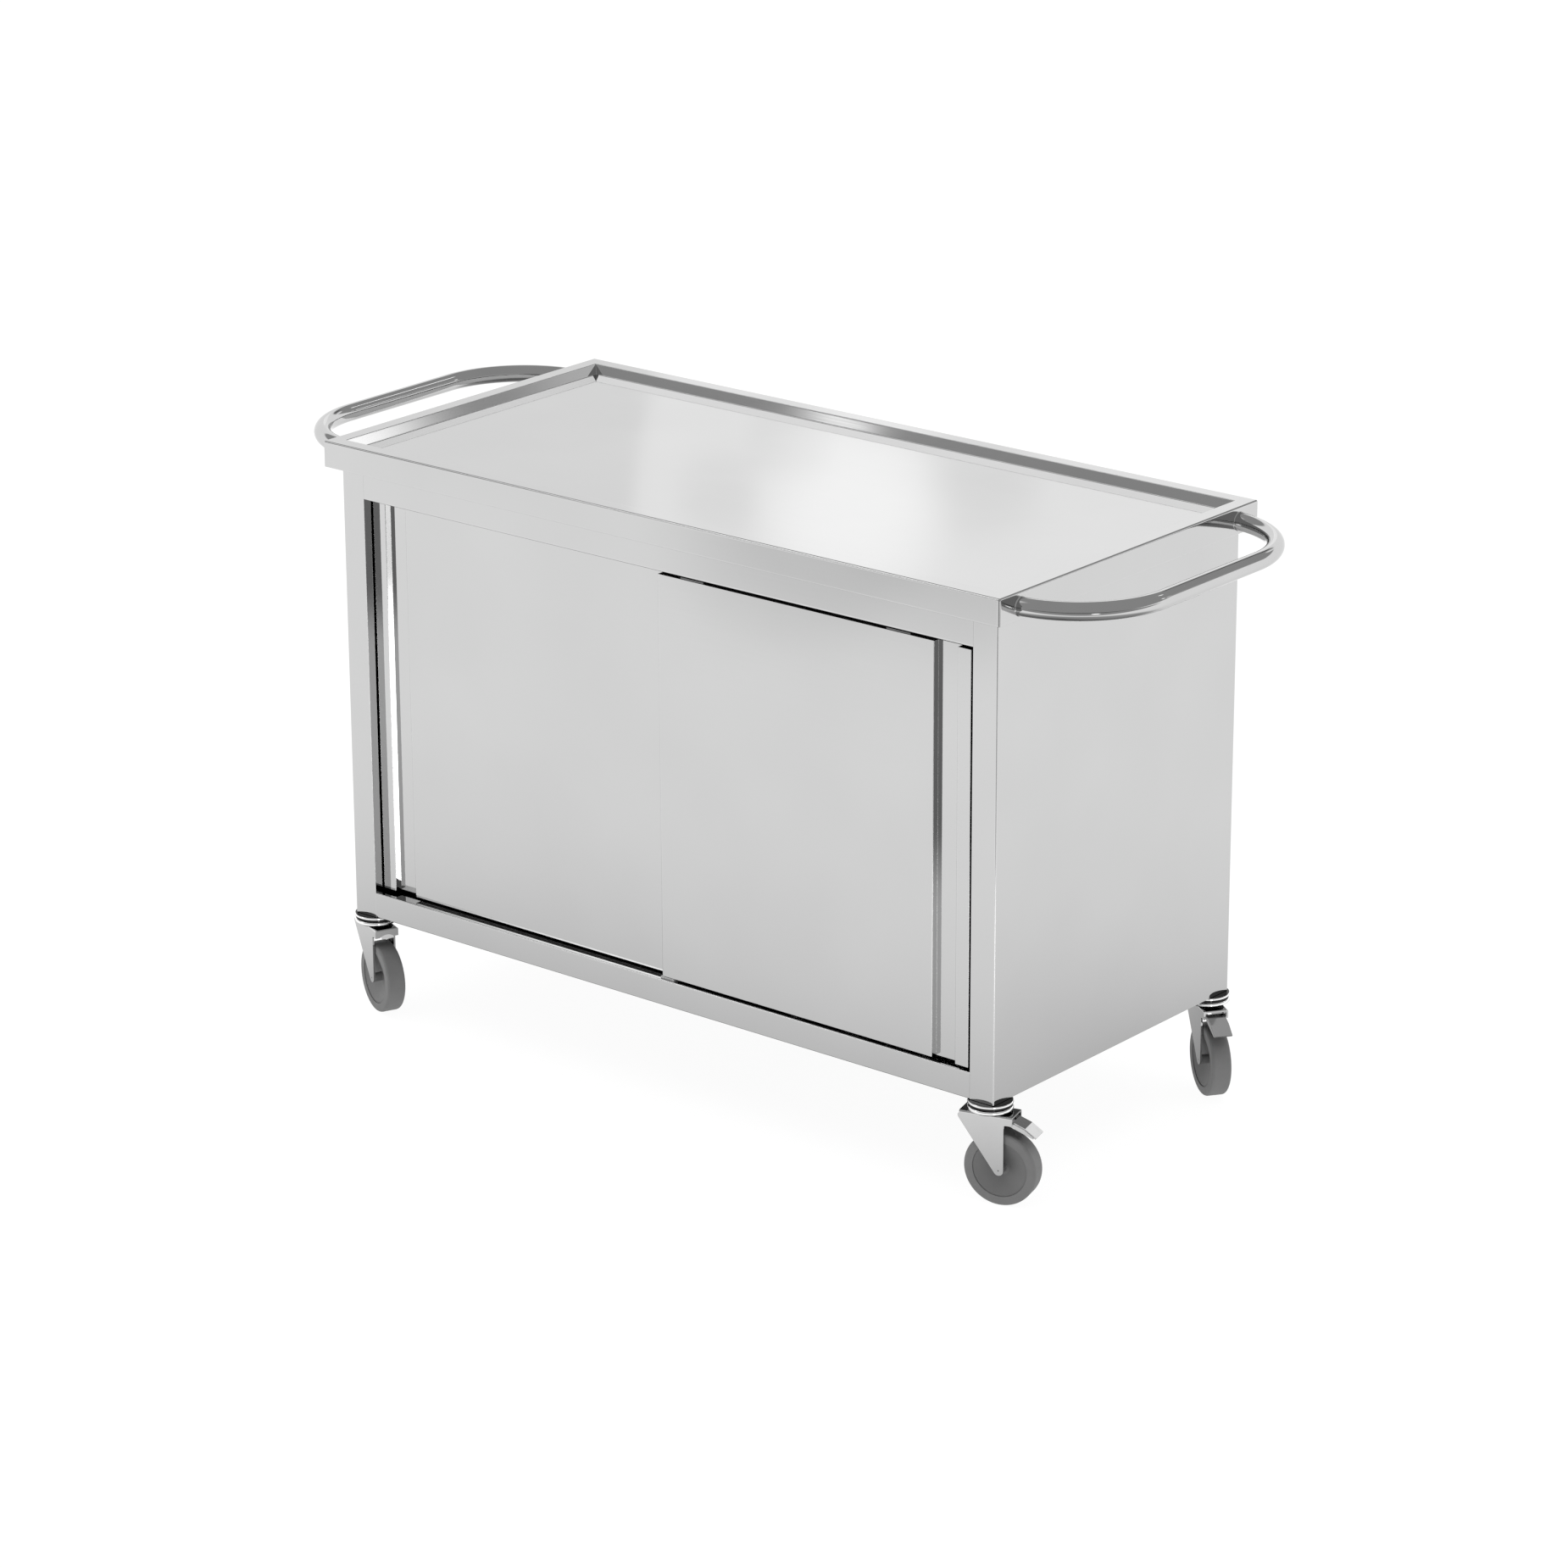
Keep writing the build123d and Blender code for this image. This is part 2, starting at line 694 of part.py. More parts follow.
# Casters
places = [Pos(end * pivot_end, row * pivot_row, 0) for _, end, row, _, _ in casters]
save("caster_plates", *[mount_plate_at(end, row) for _, end, row, _, _ in casters])
save("caster_bolts", *[place * piece for place in places for piece in (swivel_bolt(), swivel_nut())])
save("upper_races", *[place * upper_race() for place in places])
for place, (corner, end, row, turn, braked) in zip(places, casters):
    seat = place * Rot(0, 0, turn)
    save("fork_" + corner, seat * caster_fork(braked))
    save("lower_race_" + corner, seat * lower_race())
    save("axle_" + corner, seat * wheel_axle())
    save("tyre_" + corner, seat * wheel_tyre())
    save("hub_" + corner, seat * wheel_hub())
    if braked:
        save("pedal_" + corner, seat * brake_pedal())
        save("brake_pad_" + corner, seat * brake_pad())
        save("pedal_pin_" + corner, seat * pivot_pin())
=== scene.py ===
# %% [markdown]
# # Enclosed service trolley
# A cabinet of folded stainless sheet stands on four swivel casters. Two doors slide past each
# other in front, a sunk tray is its top, and a bent tube at each end is there to push it.
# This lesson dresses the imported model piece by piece. The frame below brings in the real parts
# and the bodies that move, and every new surface is put where the frame says.

# %% Load the frame
import json

import bmesh
import bpy
import numpy as np
from mathutils import Matrix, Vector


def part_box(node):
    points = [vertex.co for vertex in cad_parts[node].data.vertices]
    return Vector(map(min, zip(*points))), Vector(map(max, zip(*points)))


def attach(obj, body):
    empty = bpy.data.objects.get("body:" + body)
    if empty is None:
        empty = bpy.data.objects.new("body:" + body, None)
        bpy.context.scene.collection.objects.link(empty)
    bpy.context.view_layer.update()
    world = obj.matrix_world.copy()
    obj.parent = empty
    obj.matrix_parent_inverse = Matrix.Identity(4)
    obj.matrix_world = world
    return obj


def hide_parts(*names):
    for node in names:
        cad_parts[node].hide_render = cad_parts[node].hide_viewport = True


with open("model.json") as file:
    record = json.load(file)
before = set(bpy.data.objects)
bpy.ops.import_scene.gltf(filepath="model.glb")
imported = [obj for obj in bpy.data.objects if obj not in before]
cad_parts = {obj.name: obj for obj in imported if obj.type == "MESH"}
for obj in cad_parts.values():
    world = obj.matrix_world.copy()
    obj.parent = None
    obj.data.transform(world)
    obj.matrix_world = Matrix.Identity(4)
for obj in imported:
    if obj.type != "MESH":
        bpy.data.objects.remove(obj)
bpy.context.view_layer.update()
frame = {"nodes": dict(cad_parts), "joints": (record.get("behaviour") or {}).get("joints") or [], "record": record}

# %% [markdown]
# ## Camera
# A long lens far away keeps the upright edges of the cabinet nearly parallel. The camera could
# be aimed with a constraint, but a plain matrix is clearer: its columns are the camera's right,
# its up and its back, worked out from three angles and followed by the place it stands.

# %% Camera
camera_place = (4.5609, -5.5337, 2.9202)
camera_turn, camera_tilt, camera_lean = np.radians((39.482, 19.377, -0.232))
lens_mm = 123.42


def camera_matrix(place, turn, tilt, lean):
    """Look along (-sin turn cos tilt, cos turn cos tilt, -sin tilt), leaning about that line."""
    ahead = np.array((-np.sin(turn) * np.cos(tilt), np.cos(turn) * np.cos(tilt), -np.sin(tilt)))
    level = np.array((np.cos(turn), np.sin(turn), 0.0))
    above = np.cross(level, ahead)
    right = np.cos(lean) * level + np.sin(lean) * above
    up = np.cos(lean) * above - np.sin(lean) * level
    matrix = np.eye(4)
    matrix[:3, :] = np.stack((right, up, -ahead, np.array(place)), axis=1)
    return Matrix(matrix.tolist())


scene = bpy.context.scene
camera_data = bpy.data.cameras.new("camera")
camera_data.lens = lens_mm
camera = bpy.data.objects.new("camera", camera_data)
camera.matrix_world = camera_matrix(camera_place, camera_turn, camera_tilt, camera_lean)
scene.collection.objects.link(camera)
scene.camera = camera
scene.view_settings.view_transform = "Standard"
print("camera", camera_place, "lens", lens_mm, "mm")

# %% [markdown]
# ## Studio sky
# Bright sheet metal shows its surroundings more than itself, so the room is the first finish.
# Mesh softboxes would do, but a world made of soft round cards is easier to aim: each card is a
# brighter or darker patch of sky at an azimuth and an elevation. The pale ground ends in a tilted
# horizon, high behind the trolley and low on the side of the camera. Above it the sky is grey,
# and the ground is dim straight below. The cards are placed so that each face of the metal shows
# about the tone that it has in the photo.

# %% Studio sky
ground_tone = 1.30
sky_tone = 0.43
nadir_tone = -0.77
darkest = 0.03
camera_side = -50.0
horizon_tilt = 0.34
horizon_edge = (0.14, 0.20)
nadir_edge = (-58.0, -42.0)
# Azimuth and elevation of the middle, radius of the full core, radius of the soft edge, brightness
cards = (
    # A light with a sharp left edge that the deck shows, one hot spot and three dips
    (124.85, 16.7, 5.95, 6.12, 0.21),
    (128.72, 16.45, 0.2, 1.25, 0.30),
    (130.2, 16.35, 0.1, 0.6, -0.15),
    (129.4, 15.7, 0.1, 0.6, -0.15),
    (127.25, 16.05, 0.2, 0.8, -0.17),
    # Dark spots in front, seen in the apron
    (-129.2, -16.5, 0.2, 1.7, -0.29),
    (-127.2, -16.6, 0.2, 1.8, -0.26),
    # Lights that the sloping walls of the tray pick up
    (46.4, 22.2, 1.5, 2.75, 1.7),
    (53.0, 20.2, 2.6, 3.1, 0.38),
    (-132.3, 26.1, 0.1, 0.45, 2.1),
    # Lights that the deck shows by way of the left and the back wall
    (75.65, 43.1, 1.4, 2.3, 2.1),
    (-158.2, 50.2, 4.2, 5.2, 1.6),
    # A light in front that the ledge under the doors shows by way of the left door
    (-129.8, 21.1, 1.0, 4.6, 2.9),
    # A light on the ground that the leaning wall of the left pull shows
    (-33.6, -18.2, 3.0, 5.0, 7.5),
    # A high light in front, seen in the folds of the front edges
    (-152.0, 48.0, 8.0, 18.0, 0.7),
    # A light and a dark patch behind, seen in the pedals
    (92.0, 29.0, 3.0, 6.0, 0.8),
    (109.0, 31.0, 2.5, 5.0, -0.3),
)
world = bpy.data.worlds.new("studio")
scene.world = world
world.use_nodes = True
sky_nodes = world.node_tree.nodes
sky_links = world.node_tree.links
sky_place = sky_nodes.new("ShaderNodeTexCoord")
sky_direction = sky_nodes.new("ShaderNodeVectorMath")
sky_direction.operation = "NORMALIZE"
sky_links.new(sky_place.outputs["Generated"], sky_direction.inputs[0])
height = sky_nodes.new("ShaderNodeSeparateXYZ")
sky_links.new(sky_direction.outputs["Vector"], height.inputs[0])


def ramp(nodes, links, value, limits, ends, kind="SMOOTHSTEP"):
    """Go from the first end to the second while the value goes between its limits."""
    node = nodes.new("ShaderNodeMapRange")
    node.interpolation_type = kind
    for socket, number in zip(("From Min", "From Max", "To Min", "To Max"), (*limits, *ends)):
        node.inputs[socket].default_value = number
    links.new(value, node.inputs["Value"])
    return node.outputs["Result"]


def join_values(nodes, links, operation, first, second):
    """One math node; either value may be a number."""
    node = nodes.new("ShaderNodeMath")
    node.operation = operation
    for socket, value in zip(node.inputs, (first, second)):
        if isinstance(value, (int, float)):
            socket.default_value = value
        else:
            links.new(value, socket)
    return node.outputs["Value"]


def card_light(azimuth, elevation, core, edge, brightness):
    """Round patch: the smooth step of the cosine between a direction and the card's middle."""
    around, above = np.radians((azimuth, elevation))
    middle = (np.cos(above) * np.cos(around), np.cos(above) * np.sin(around), np.sin(above))
    cosine = sky_nodes.new("ShaderNodeVectorMath")
    cosine.operation = "DOT_PRODUCT"
    sky_links.new(sky_direction.outputs["Vector"], cosine.inputs[0])
    cosine.inputs[1].default_value = middle
    limits = np.cos(np.radians((edge, core)))
    return ramp(sky_nodes, sky_links, cosine.outputs["Value"], limits, (0, brightness))


# The ground gives way to the sky where z + tilt * (direction . camera side) passes the edge
toward = sky_nodes.new("ShaderNodeVectorMath")
toward.operation = "DOT_PRODUCT"
sky_links.new(sky_direction.outputs["Vector"], toward.inputs[0])
toward.inputs[1].default_value = (np.cos(np.radians(camera_side)), np.sin(np.radians(camera_side)), 0)
tilted = join_values(sky_nodes, sky_links, "MULTIPLY", toward.outputs["Value"], horizon_tilt)
tilted = join_values(sky_nodes, sky_links, "ADD", tilted, height.outputs["Z"])
light = ramp(sky_nodes, sky_links, tilted, horizon_edge, (ground_tone, sky_tone))
below = np.sin(np.radians(nadir_edge))
dim = ramp(sky_nodes, sky_links, height.outputs["Z"], below, (nadir_tone, 0))
light = join_values(sky_nodes, sky_links, "ADD", light, dim)
for card in cards:
    light = join_values(sky_nodes, sky_links, "ADD", light, card_light(*card))
light = join_values(sky_nodes, sky_links, "MAXIMUM", light, darkest)
sky_links.new(light, sky_nodes["Background"].inputs["Strength"])
sky_nodes["Background"].inputs["Color"].default_value = (1, 1, 1, 1)
print(len(cards), "cards in the studio sky")

# %% [markdown]
# ## Floor
# The floor is a plain sheet that glows nearly white by itself, so its shadow is faint. The metal
# would show its far edge as a line, so reflections look past it to the sky. They still need the
# dimness close to the casters: a second sheet that only reflections see is nearly black under the
# trolley and clears with the distance from it. Far out on the camera's side the same sheet dims
# the ground once more.

# %% Floor and lamp
floor_reach = 30.0
floor_glow = 0.94
floor_paint = 0.12
lamp_energy = 1.2
lamp_spread = 70.0


def flat_sheet(name, reach):
    """Square sheet on the ground, with a node material of its own."""
    corners = [(-reach, -reach, 0), (reach, -reach, 0), (reach, reach, 0), (-reach, reach, 0)]
    mesh = bpy.data.meshes.new(name)
    mesh.from_pydata(corners, [], [(0, 1, 2, 3)])
    finish = bpy.data.materials.new(name)
    finish.use_nodes = True
    mesh.materials.append(finish)
    sheet = bpy.data.objects.new(name, mesh)
    scene.collection.objects.link(sheet)
    return sheet, finish.node_tree


floor, floor_tree = flat_sheet("pale_floor", floor_reach)
floor.visible_glossy = False
floor_shader = floor_tree.nodes["Principled BSDF"]
floor_shader.inputs["Base Color"].default_value = (floor_paint, floor_paint, floor_paint, 1)
floor_shader.inputs["Roughness"].default_value = 1.0
floor_shader.inputs["Specular IOR Level"].default_value = 0.0
floor_shader.inputs["Emission Color"].default_value = (1, 1, 1, 1)
floor_shader.inputs["Emission Strength"].default_value = floor_glow
lamp_data = bpy.data.lights.new("overhead", "SUN")
lamp_data.energy = lamp_energy
lamp_data.angle = np.radians(lamp_spread)
lamp = bpy.data.objects.new("overhead", lamp_data)
lamp.visible_glossy = False
scene.collection.objects.link(lamp)
print("floor", 2 * floor_reach, "m wide")

# %% Shade close to the trolley
shade_half = (0.583, 0.2705, 0.0)
shade_edge = 0.62
shade_fade = 0.33
shade_most = 0.98
dusk_distance = (1.55, 1.95)
dusk_share = 0.67

shade, shade_tree = flat_sheet("contact_shade", floor_reach)
for way in ("camera", "diffuse", "transmission", "shadow", "volume_scatter"):
    setattr(shade, "visible_" + way, False)
shade_nodes = shade_tree.nodes
shade_links = shade_tree.links


def vector_step(operation, first, second=(0, 0, 0)):
    """One vector math node of the shade; the second input is a fixed vector."""
    node = shade_nodes.new("ShaderNodeVectorMath")
    node.operation = operation
    shade_links.new(first, node.inputs[0])
    node.inputs[1].default_value = second
    return node.outputs


# Distance from the footprint: |max(|p| - h, 0)| + min(max(|x| - a, |y| - b), 0)
shade_place = shade_nodes.new("ShaderNodeTexCoord").outputs["Object"]
folded_place = vector_step("ABSOLUTE", shade_place)["Vector"]
beyond = vector_step("SUBTRACT", folded_place, shade_half)["Vector"]
outside = vector_step("LENGTH", vector_step("MAXIMUM", beyond)["Vector"])["Value"]
parts = shade_nodes.new("ShaderNodeSeparateXYZ")
shade_links.new(beyond, parts.inputs[0])
inside = join_values(shade_nodes, shade_links, "MAXIMUM", parts.outputs["X"], parts.outputs["Y"])
inside = join_values(shade_nodes, shade_links, "MINIMUM", inside, 0.0)
distance = join_values(shade_nodes, shade_links, "ADD", outside, inside)
# The shade's share falls as edge * exp(-distance / fade)
share = join_values(shade_nodes, shade_links, "MULTIPLY", distance, -1 / shade_fade)
share = join_values(shade_nodes, shade_links, "EXPONENT", share, 0.0)
share = join_values(shade_nodes, shade_links, "MULTIPLY", share, shade_edge)
share = join_values(shade_nodes, shade_links, "MINIMUM", share, shade_most)
# What the shade leaves is dimmed again beyond a line across the camera's direction
outward = vector_step("DOT_PRODUCT", shade_place, toward.inputs[1].default_value)["Value"]
left_clear = ramp(shade_nodes, shade_links, outward, dusk_distance, (1, 1 - dusk_share))
clear = join_values(shade_nodes, shade_links, "SUBTRACT", 1.0, share)
clear = join_values(shade_nodes, shade_links, "MULTIPLY", clear, left_clear)
share = join_values(shade_nodes, shade_links, "SUBTRACT", 1.0, clear)
black = shade_nodes["Principled BSDF"]
black.inputs["Base Color"].default_value = (0, 0, 0, 1)
black.inputs["Specular IOR Level"].default_value = 0.0
shade_links.new(share, black.inputs["Alpha"])
print("shade on the ground, seen in reflections only")

# %% [markdown]
# ## From arrays to meshes
# Every new piece is a grid of points worked out with numpy. A sheet is two grids, its outer and
# its inner side, joined along their rims; a turned piece is one grid that closes on itself.
# Solidify could thicken a single grid, but two grids keep the folds at their true radii. The
# meshes are written in metres while the sizes below are in millimetres, as on a workshop drawing.

# %% Mesh helpers
millimetre = 0.001
sharp_angle = 32.0
merge_distance = 1e-6
all_rims = ("first_row", "last_row", "first_column", "last_column")


def grid_faces(rows, columns, wrap_rows=False, wrap_columns=False):
    """Quads between neighbouring points of a grid numbered row by row; a wrapped side closes on itself."""
    row = np.arange(rows if wrap_rows else rows - 1)[:, None]
    column = np.arange(columns if wrap_columns else columns - 1)[None, :]
    next_row = (row + 1) % rows
    next_column = (column + 1) % columns
    corners = (row * columns + column, next_row * columns + column)
    corners += (next_row * columns + next_column, row * columns + next_column)
    return np.stack(np.broadcast_arrays(*corners), axis=-1).reshape(-1, 4)


def sheet_shell(outer, inner, rims=all_rims, wrap_rows=False):
    """A sheet with thickness: the outer grid, the inner grid, and a strip of quads along each named rim."""
    rows, columns = outer.shape[:2]
    number = np.arange(rows * columns).reshape(rows, columns)
    sides = {"first_row": number[0], "last_row": number[-1]}
    sides.update(first_column=number[:, 0], last_column=number[:, -1])
    front = grid_faces(rows, columns, wrap_rows)
    faces = [front, front[:, ::-1] + rows * columns]
    for rim in rims:
        line = sides[rim]
        if wrap_rows:
            line = np.append(line, line[0])
        strip = (line[:-1], line[1:], line[1:] + rows * columns, line[:-1] + rows * columns)
        faces.append(np.stack(strip, axis=-1))
    points = np.concatenate((outer.reshape(-1, 3), inner.reshape(-1, 3)))
    return points, np.concatenate(faces)


def join_shells(*shells):
    """One list of points and one of faces from several shells."""
    starts = np.cumsum([0] + [len(points) for points, _ in shells[:-1]])
    points = np.concatenate([points for points, _ in shells])
    faces = np.concatenate([faces + start for (_, faces), start in zip(shells, starts)])
    return points, faces


def make_piece(name, shell, finish, body, nodes, marks=None, flat=True):
    """Mesh object of a closed shell that rides on a body and stands for the named nodes.

    Marks are written as a point attribute for the finish. A flat piece gets normals weighted by
    face area, so its large faces stay plane up to the start of each fold.
    """
    points, faces = shell
    mesh = bpy.data.meshes.new(name)
    mesh.from_pydata((points * millimetre).tolist(), [], faces.tolist())
    if marks is not None:
        layer = mesh.attributes.new("marks", "FLOAT", "POINT")
        layer.data.foreach_set("value", marks.astype(np.float32))
    work = bmesh.new()
    work.from_mesh(mesh)
    bmesh.ops.remove_doubles(work, verts=work.verts, dist=merge_distance)
    bmesh.ops.recalc_face_normals(work, faces=work.faces)
    work.to_mesh(mesh)
    work.free()
    mesh.polygons.foreach_set("use_smooth", np.ones(len(mesh.polygons), dtype=bool))
    mesh.set_sharp_from_angle(angle=np.radians(sharp_angle))
    mesh.materials.append(finish)
    piece = bpy.data.objects.new(name, mesh)
    scene.collection.objects.link(piece)
    if flat:
        piece.modifiers.new("plane_faces", "WEIGHTED_NORMAL").keep_sharp = True
    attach(piece, body)
    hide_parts(*nodes)
    print(name, len(mesh.polygons), "faces on", body)


# %% [markdown]
# ## Finishes
# The cabinet is satin stainless sheet: a clear grey mirror with a fine grain along the rolling
# direction, faint clouds, and folds a little brighter than the flats. An image could carry that
# grain, but stretched noise on Object coordinates has no seams. The tubes are polished, the
# caster steel is zinc plated, and tyres and hubs are moulded grey. A point attribute named marks
# makes parts of a piece paler or darker: painted highlight on the rings of the caster races, and
# painted shade in their grooves and on the flat crowns of the forks.

# %% Finish helpers
noise_limits = (0.3, 0.7)


def start_finish(name):
    """New node material, its node list, its links and its shader."""
    finish = bpy.data.materials.new(name)
    finish.use_nodes = True
    nodes = finish.node_tree.nodes
    return finish, nodes, finish.node_tree.links, nodes["Principled BSDF"]


def noise_field(nodes, links, scale, detail, roughness=0.5):
    """Noise on Object coordinates, stretched by one scale for each axis."""
    place = nodes.new("ShaderNodeTexCoord")
    stretch = nodes.new("ShaderNodeMapping")
    stretch.inputs["Scale"].default_value = scale
    noise = nodes.new("ShaderNodeTexNoise")
    noise.inputs["Scale"].default_value = 1.0
    noise.inputs["Detail"].default_value = detail
    noise.inputs["Roughness"].default_value = roughness
    links.new(place.outputs["Object"], stretch.inputs["Vector"])
    links.new(stretch.outputs["Vector"], noise.inputs["Vector"])
    return noise.outputs["Fac"]


def spread(nodes, links, value, start, end):
    """Carry a noise value evenly from its usual limits onto start to end."""
    return ramp(nodes, links, value, noise_limits, (start, end), "LINEAR")


def add_bump(nodes, links, shader, value, strength, distance):
    """Raise the surface by a value; distance is in metres."""
    bump = nodes.new("ShaderNodeBump")
    bump.inputs["Strength"].default_value = strength
    bump.inputs["Distance"].default_value = distance
    links.new(value, bump.inputs["Height"])
    links.new(bump.outputs["Normal"], shader.inputs["Normal"])


# %% Metals
edge_tint = 0.81
grain_range = (0.85, 1.2)
cloud_range = (0.92, 1.1)
tone_range = 0.008
grain_detail = 3.0
cloud_detail = 2.0
grain_strength = 0.06


def metal_finish(name, tone, gloss, grain_scale, cloud_scale, grain_height):
    """Metal: roughness is gloss times grain and cloud, and the marks of a piece are added to its tone.

    The edge tint keeps a slanting look from being brighter.
    """
    finish, nodes, links, shader = start_finish(name)
    marks = nodes.new("ShaderNodeAttribute")
    marks.attribute_name = "marks"
    shader.inputs["Metallic"].default_value = 1.0
    shader.inputs["Specular Tint"].default_value = (edge_tint, edge_tint, edge_tint, 1)
    grain = noise_field(nodes, links, grain_scale, grain_detail)
    cloud = noise_field(nodes, links, (cloud_scale,) * 3, cloud_detail)
    rough = spread(nodes, links, grain, grain_range[0] * gloss, grain_range[1] * gloss)
    rough = join_values(nodes, links, "MULTIPLY", rough, spread(nodes, links, cloud, *cloud_range))
    links.new(rough, shader.inputs["Roughness"])
    shade_of_grey = spread(nodes, links, cloud, tone - tone_range, tone + tone_range)
    shade_of_grey = join_values(nodes, links, "ADD", shade_of_grey, marks.outputs["Fac"])
    links.new(shade_of_grey, shader.inputs["Base Color"])
    add_bump(nodes, links, shader, grain, grain_strength, grain_height)
    return finish


sheet_along = metal_finish("satin_sheet_along", 0.50, 0.05, (5, 700, 700), 5.0, 0.000008)
sheet_across = metal_finish("satin_sheet_across", 0.50, 0.05, (700, 5, 700), 5.0, 0.000008)
tube_polish = metal_finish("polished_tube", 0.50, 0.06, (90, 90, 90), 20.0, 0.000004)
zinc_plate = metal_finish("zinc_plate", 0.60, 0.09, (160, 160, 160), 40.0, 0.00002)
# Painted shade: a dark rough steel for the bars, hangers and stiffeners that sit in the dark gaps
inner_steel_painted_shade = metal_finish("inner_steel_in_painted_shade", 0.16, 0.45, (60, 60, 60), 12.0, 0.00003)
# Painted shade: the door track is nearly black, standing for the shade in the gap above the doors
track_painted_shade_metal = metal_finish("track_in_painted_shade", 0.08, 0.4, (5, 500, 500), 12.0, 0.00003)

# %% Plastics and rubber
fine_detail = 4.0
fine_roughness = 0.6
fine_strength = 0.25
broad_detail = 2.0
broad_size = 14


def moulded_finish(name, low, high, rough_low, rough_high, scale, height):
    """Moulded grey: broad noise in colour, and fine noise in roughness and height."""
    finish, nodes, links, shader = start_finish(name)
    fine = noise_field(nodes, links, (scale,) * 3, fine_detail, fine_roughness)
    broad = noise_field(nodes, links, (scale / broad_size,) * 3, broad_detail)
    links.new(spread(nodes, links, broad, low, high), shader.inputs["Base Color"])
    links.new(spread(nodes, links, fine, rough_low, rough_high), shader.inputs["Roughness"])
    add_bump(nodes, links, shader, fine, fine_strength, height)
    return finish


tyre_rubber = moulded_finish("grey_tyre", 0.195, 0.21, 0.5, 0.68, 700, 0.00006)
hub_plastic = moulded_finish("hub_plastic", 0.165, 0.178, 0.38, 0.52, 500, 0.00004)
guide_nylon = moulded_finish("natural_nylon", 0.62, 0.70, 0.4, 0.55, 400, 0.00005)
black_rubber = moulded_finish("black_rubber", 0.02, 0.03, 0.6, 0.8, 500, 0.0001)
print(len(bpy.data.materials), "finishes")

# %% [markdown]
# ## Folded lines
# A press brake bends flat sheet about a rounded blade, so the section of every panel is a line
# of straight runs joined by arcs. A Bevel modifier could round the corners of a sharp line, but
# the arcs are easy to write. The inner side of the sheet is the same line with its corners moved in
# by one thickness, and with each radius smaller or larger by that thickness.

# %% Folded line
fold_steps = 7
fold_shoulder = 1.5
fold_bright = 0.02
least_radius = 0.12


def runs_of(corners):
    """Unit directions, left normals and lengths of the runs, and the turn at each inner corner."""
    run = np.diff(corners, axis=0)
    length = np.linalg.norm(run, axis=1)
    ahead = run / length[:, None]
    normal = np.stack((-ahead[:, 1], ahead[:, 0]), axis=1)
    across = ahead[:-1, 0] * ahead[1:, 1] - ahead[:-1, 1] * ahead[1:, 0]
    turn = np.arctan2(across, np.sum(ahead[:-1] * ahead[1:], axis=1))
    return ahead, normal, length, turn


def folded_line(corners, radius):
    """Points and fold marks of a line of runs with rounded corners; one radius, or one for each corner.

    Where two runs turn by t, the arc starts r tan(|t| / 2) before the corner. Its normal turns
    evenly from the first run's normal to the second's, and a point is the centre minus or plus r
    times the normal, for a left or a right turn.
    """
    corners = np.asarray(corners, dtype=float)
    ahead, normal, length, turn = runs_of(corners)
    radius = np.broadcast_to(radius, turn.shape)
    cut = np.concatenate(([0.0], radius * np.tan(np.abs(turn) / 2), [0.0]))
    shoulder = np.minimum(fold_shoulder, (length - cut[:-1] - cut[1:]) / 3)
    points, marks = [corners[:1]], [np.zeros(1)]
    share = np.linspace(0, 1, fold_steps + 1)
    for k, angle in enumerate(turn):
        side = np.sign(angle) * radius[k]
        start = corners[k + 1] - cut[k + 1] * ahead[k]
        swing = share * angle
        arc_normal = np.stack((normal[k, 0] * np.cos(swing) - normal[k, 1] * np.sin(swing),
                               normal[k, 0] * np.sin(swing) + normal[k, 1] * np.cos(swing)), axis=1)
        arc = start + side * (normal[k] - arc_normal)
        before = start - shoulder[k] * ahead[k:k + 1]
        after = arc[-1:] + shoulder[k + 1] * ahead[k + 1:k + 2]
        points += [before, arc, after]
        marks += [np.zeros(1), np.full(len(arc), fold_bright), np.zeros(1)]
    points.append(corners[-1:])
    marks.append(np.zeros(1))
    return np.concatenate(points), np.concatenate(marks)


def second_side(corners, radius, thickness):
    """The folded line one thickness to the left; a corner moves by thickness (n1 + n2) / (1 + n1 n2)."""
    corners = np.asarray(corners, dtype=float)
    _, normal, _, turn = runs_of(corners)
    mitre = (normal[:-1] + normal[1:]) / (1 + np.sum(normal[:-1] * normal[1:], axis=1))[:, None]
    moved = corners + thickness * np.concatenate((normal[:1], mitre, normal[-1:]))
    inner_radius = np.maximum(np.broadcast_to(radius, turn.shape) - np.sign(turn) * thickness, least_radius)
    return folded_line(moved, inner_radius)[0]


def lay_along(line, axis, stations):
    """Carry a flat line along x, y or z: one copy at each station, as a grid of stations by points."""
    stations = np.asarray(stations, dtype=float)
    first, second = (np.broadcast_to(line[:, k], (len(stations), len(line))) for k in (0, 1))
    station = np.broadcast_to(stations[:, None], first.shape)
    order = {"x": (station, first, second), "y": (first, station, second), "z": (first, second, station)}
    return np.stack(order[axis], axis=-1)


def folded_sheet(corners, thickness, radius, axis, stations):
    """Shell of a folded sheet that lies on the left of its line, and its fold marks."""
    line, marks = folded_line(corners, radius)
    outer = lay_along(line, axis, stations)
    inner = lay_along(second_side(corners, radius, thickness), axis, stations)
    return sheet_shell(outer, inner), np.tile(marks, 2 * len(stations))


# %% [markdown]
# ## Top tray
# The top is one sheet: an apron all round, a flat rim, a sloping wall and a sunk deck that keeps
# things from sliding off. It could be an extruded frame with a plate, but the real one has no
# joint, so one profile runs round the whole rectangle. The profile is given as a distance in from
# the edge and a height, and goes on inward until the deck closes on itself.

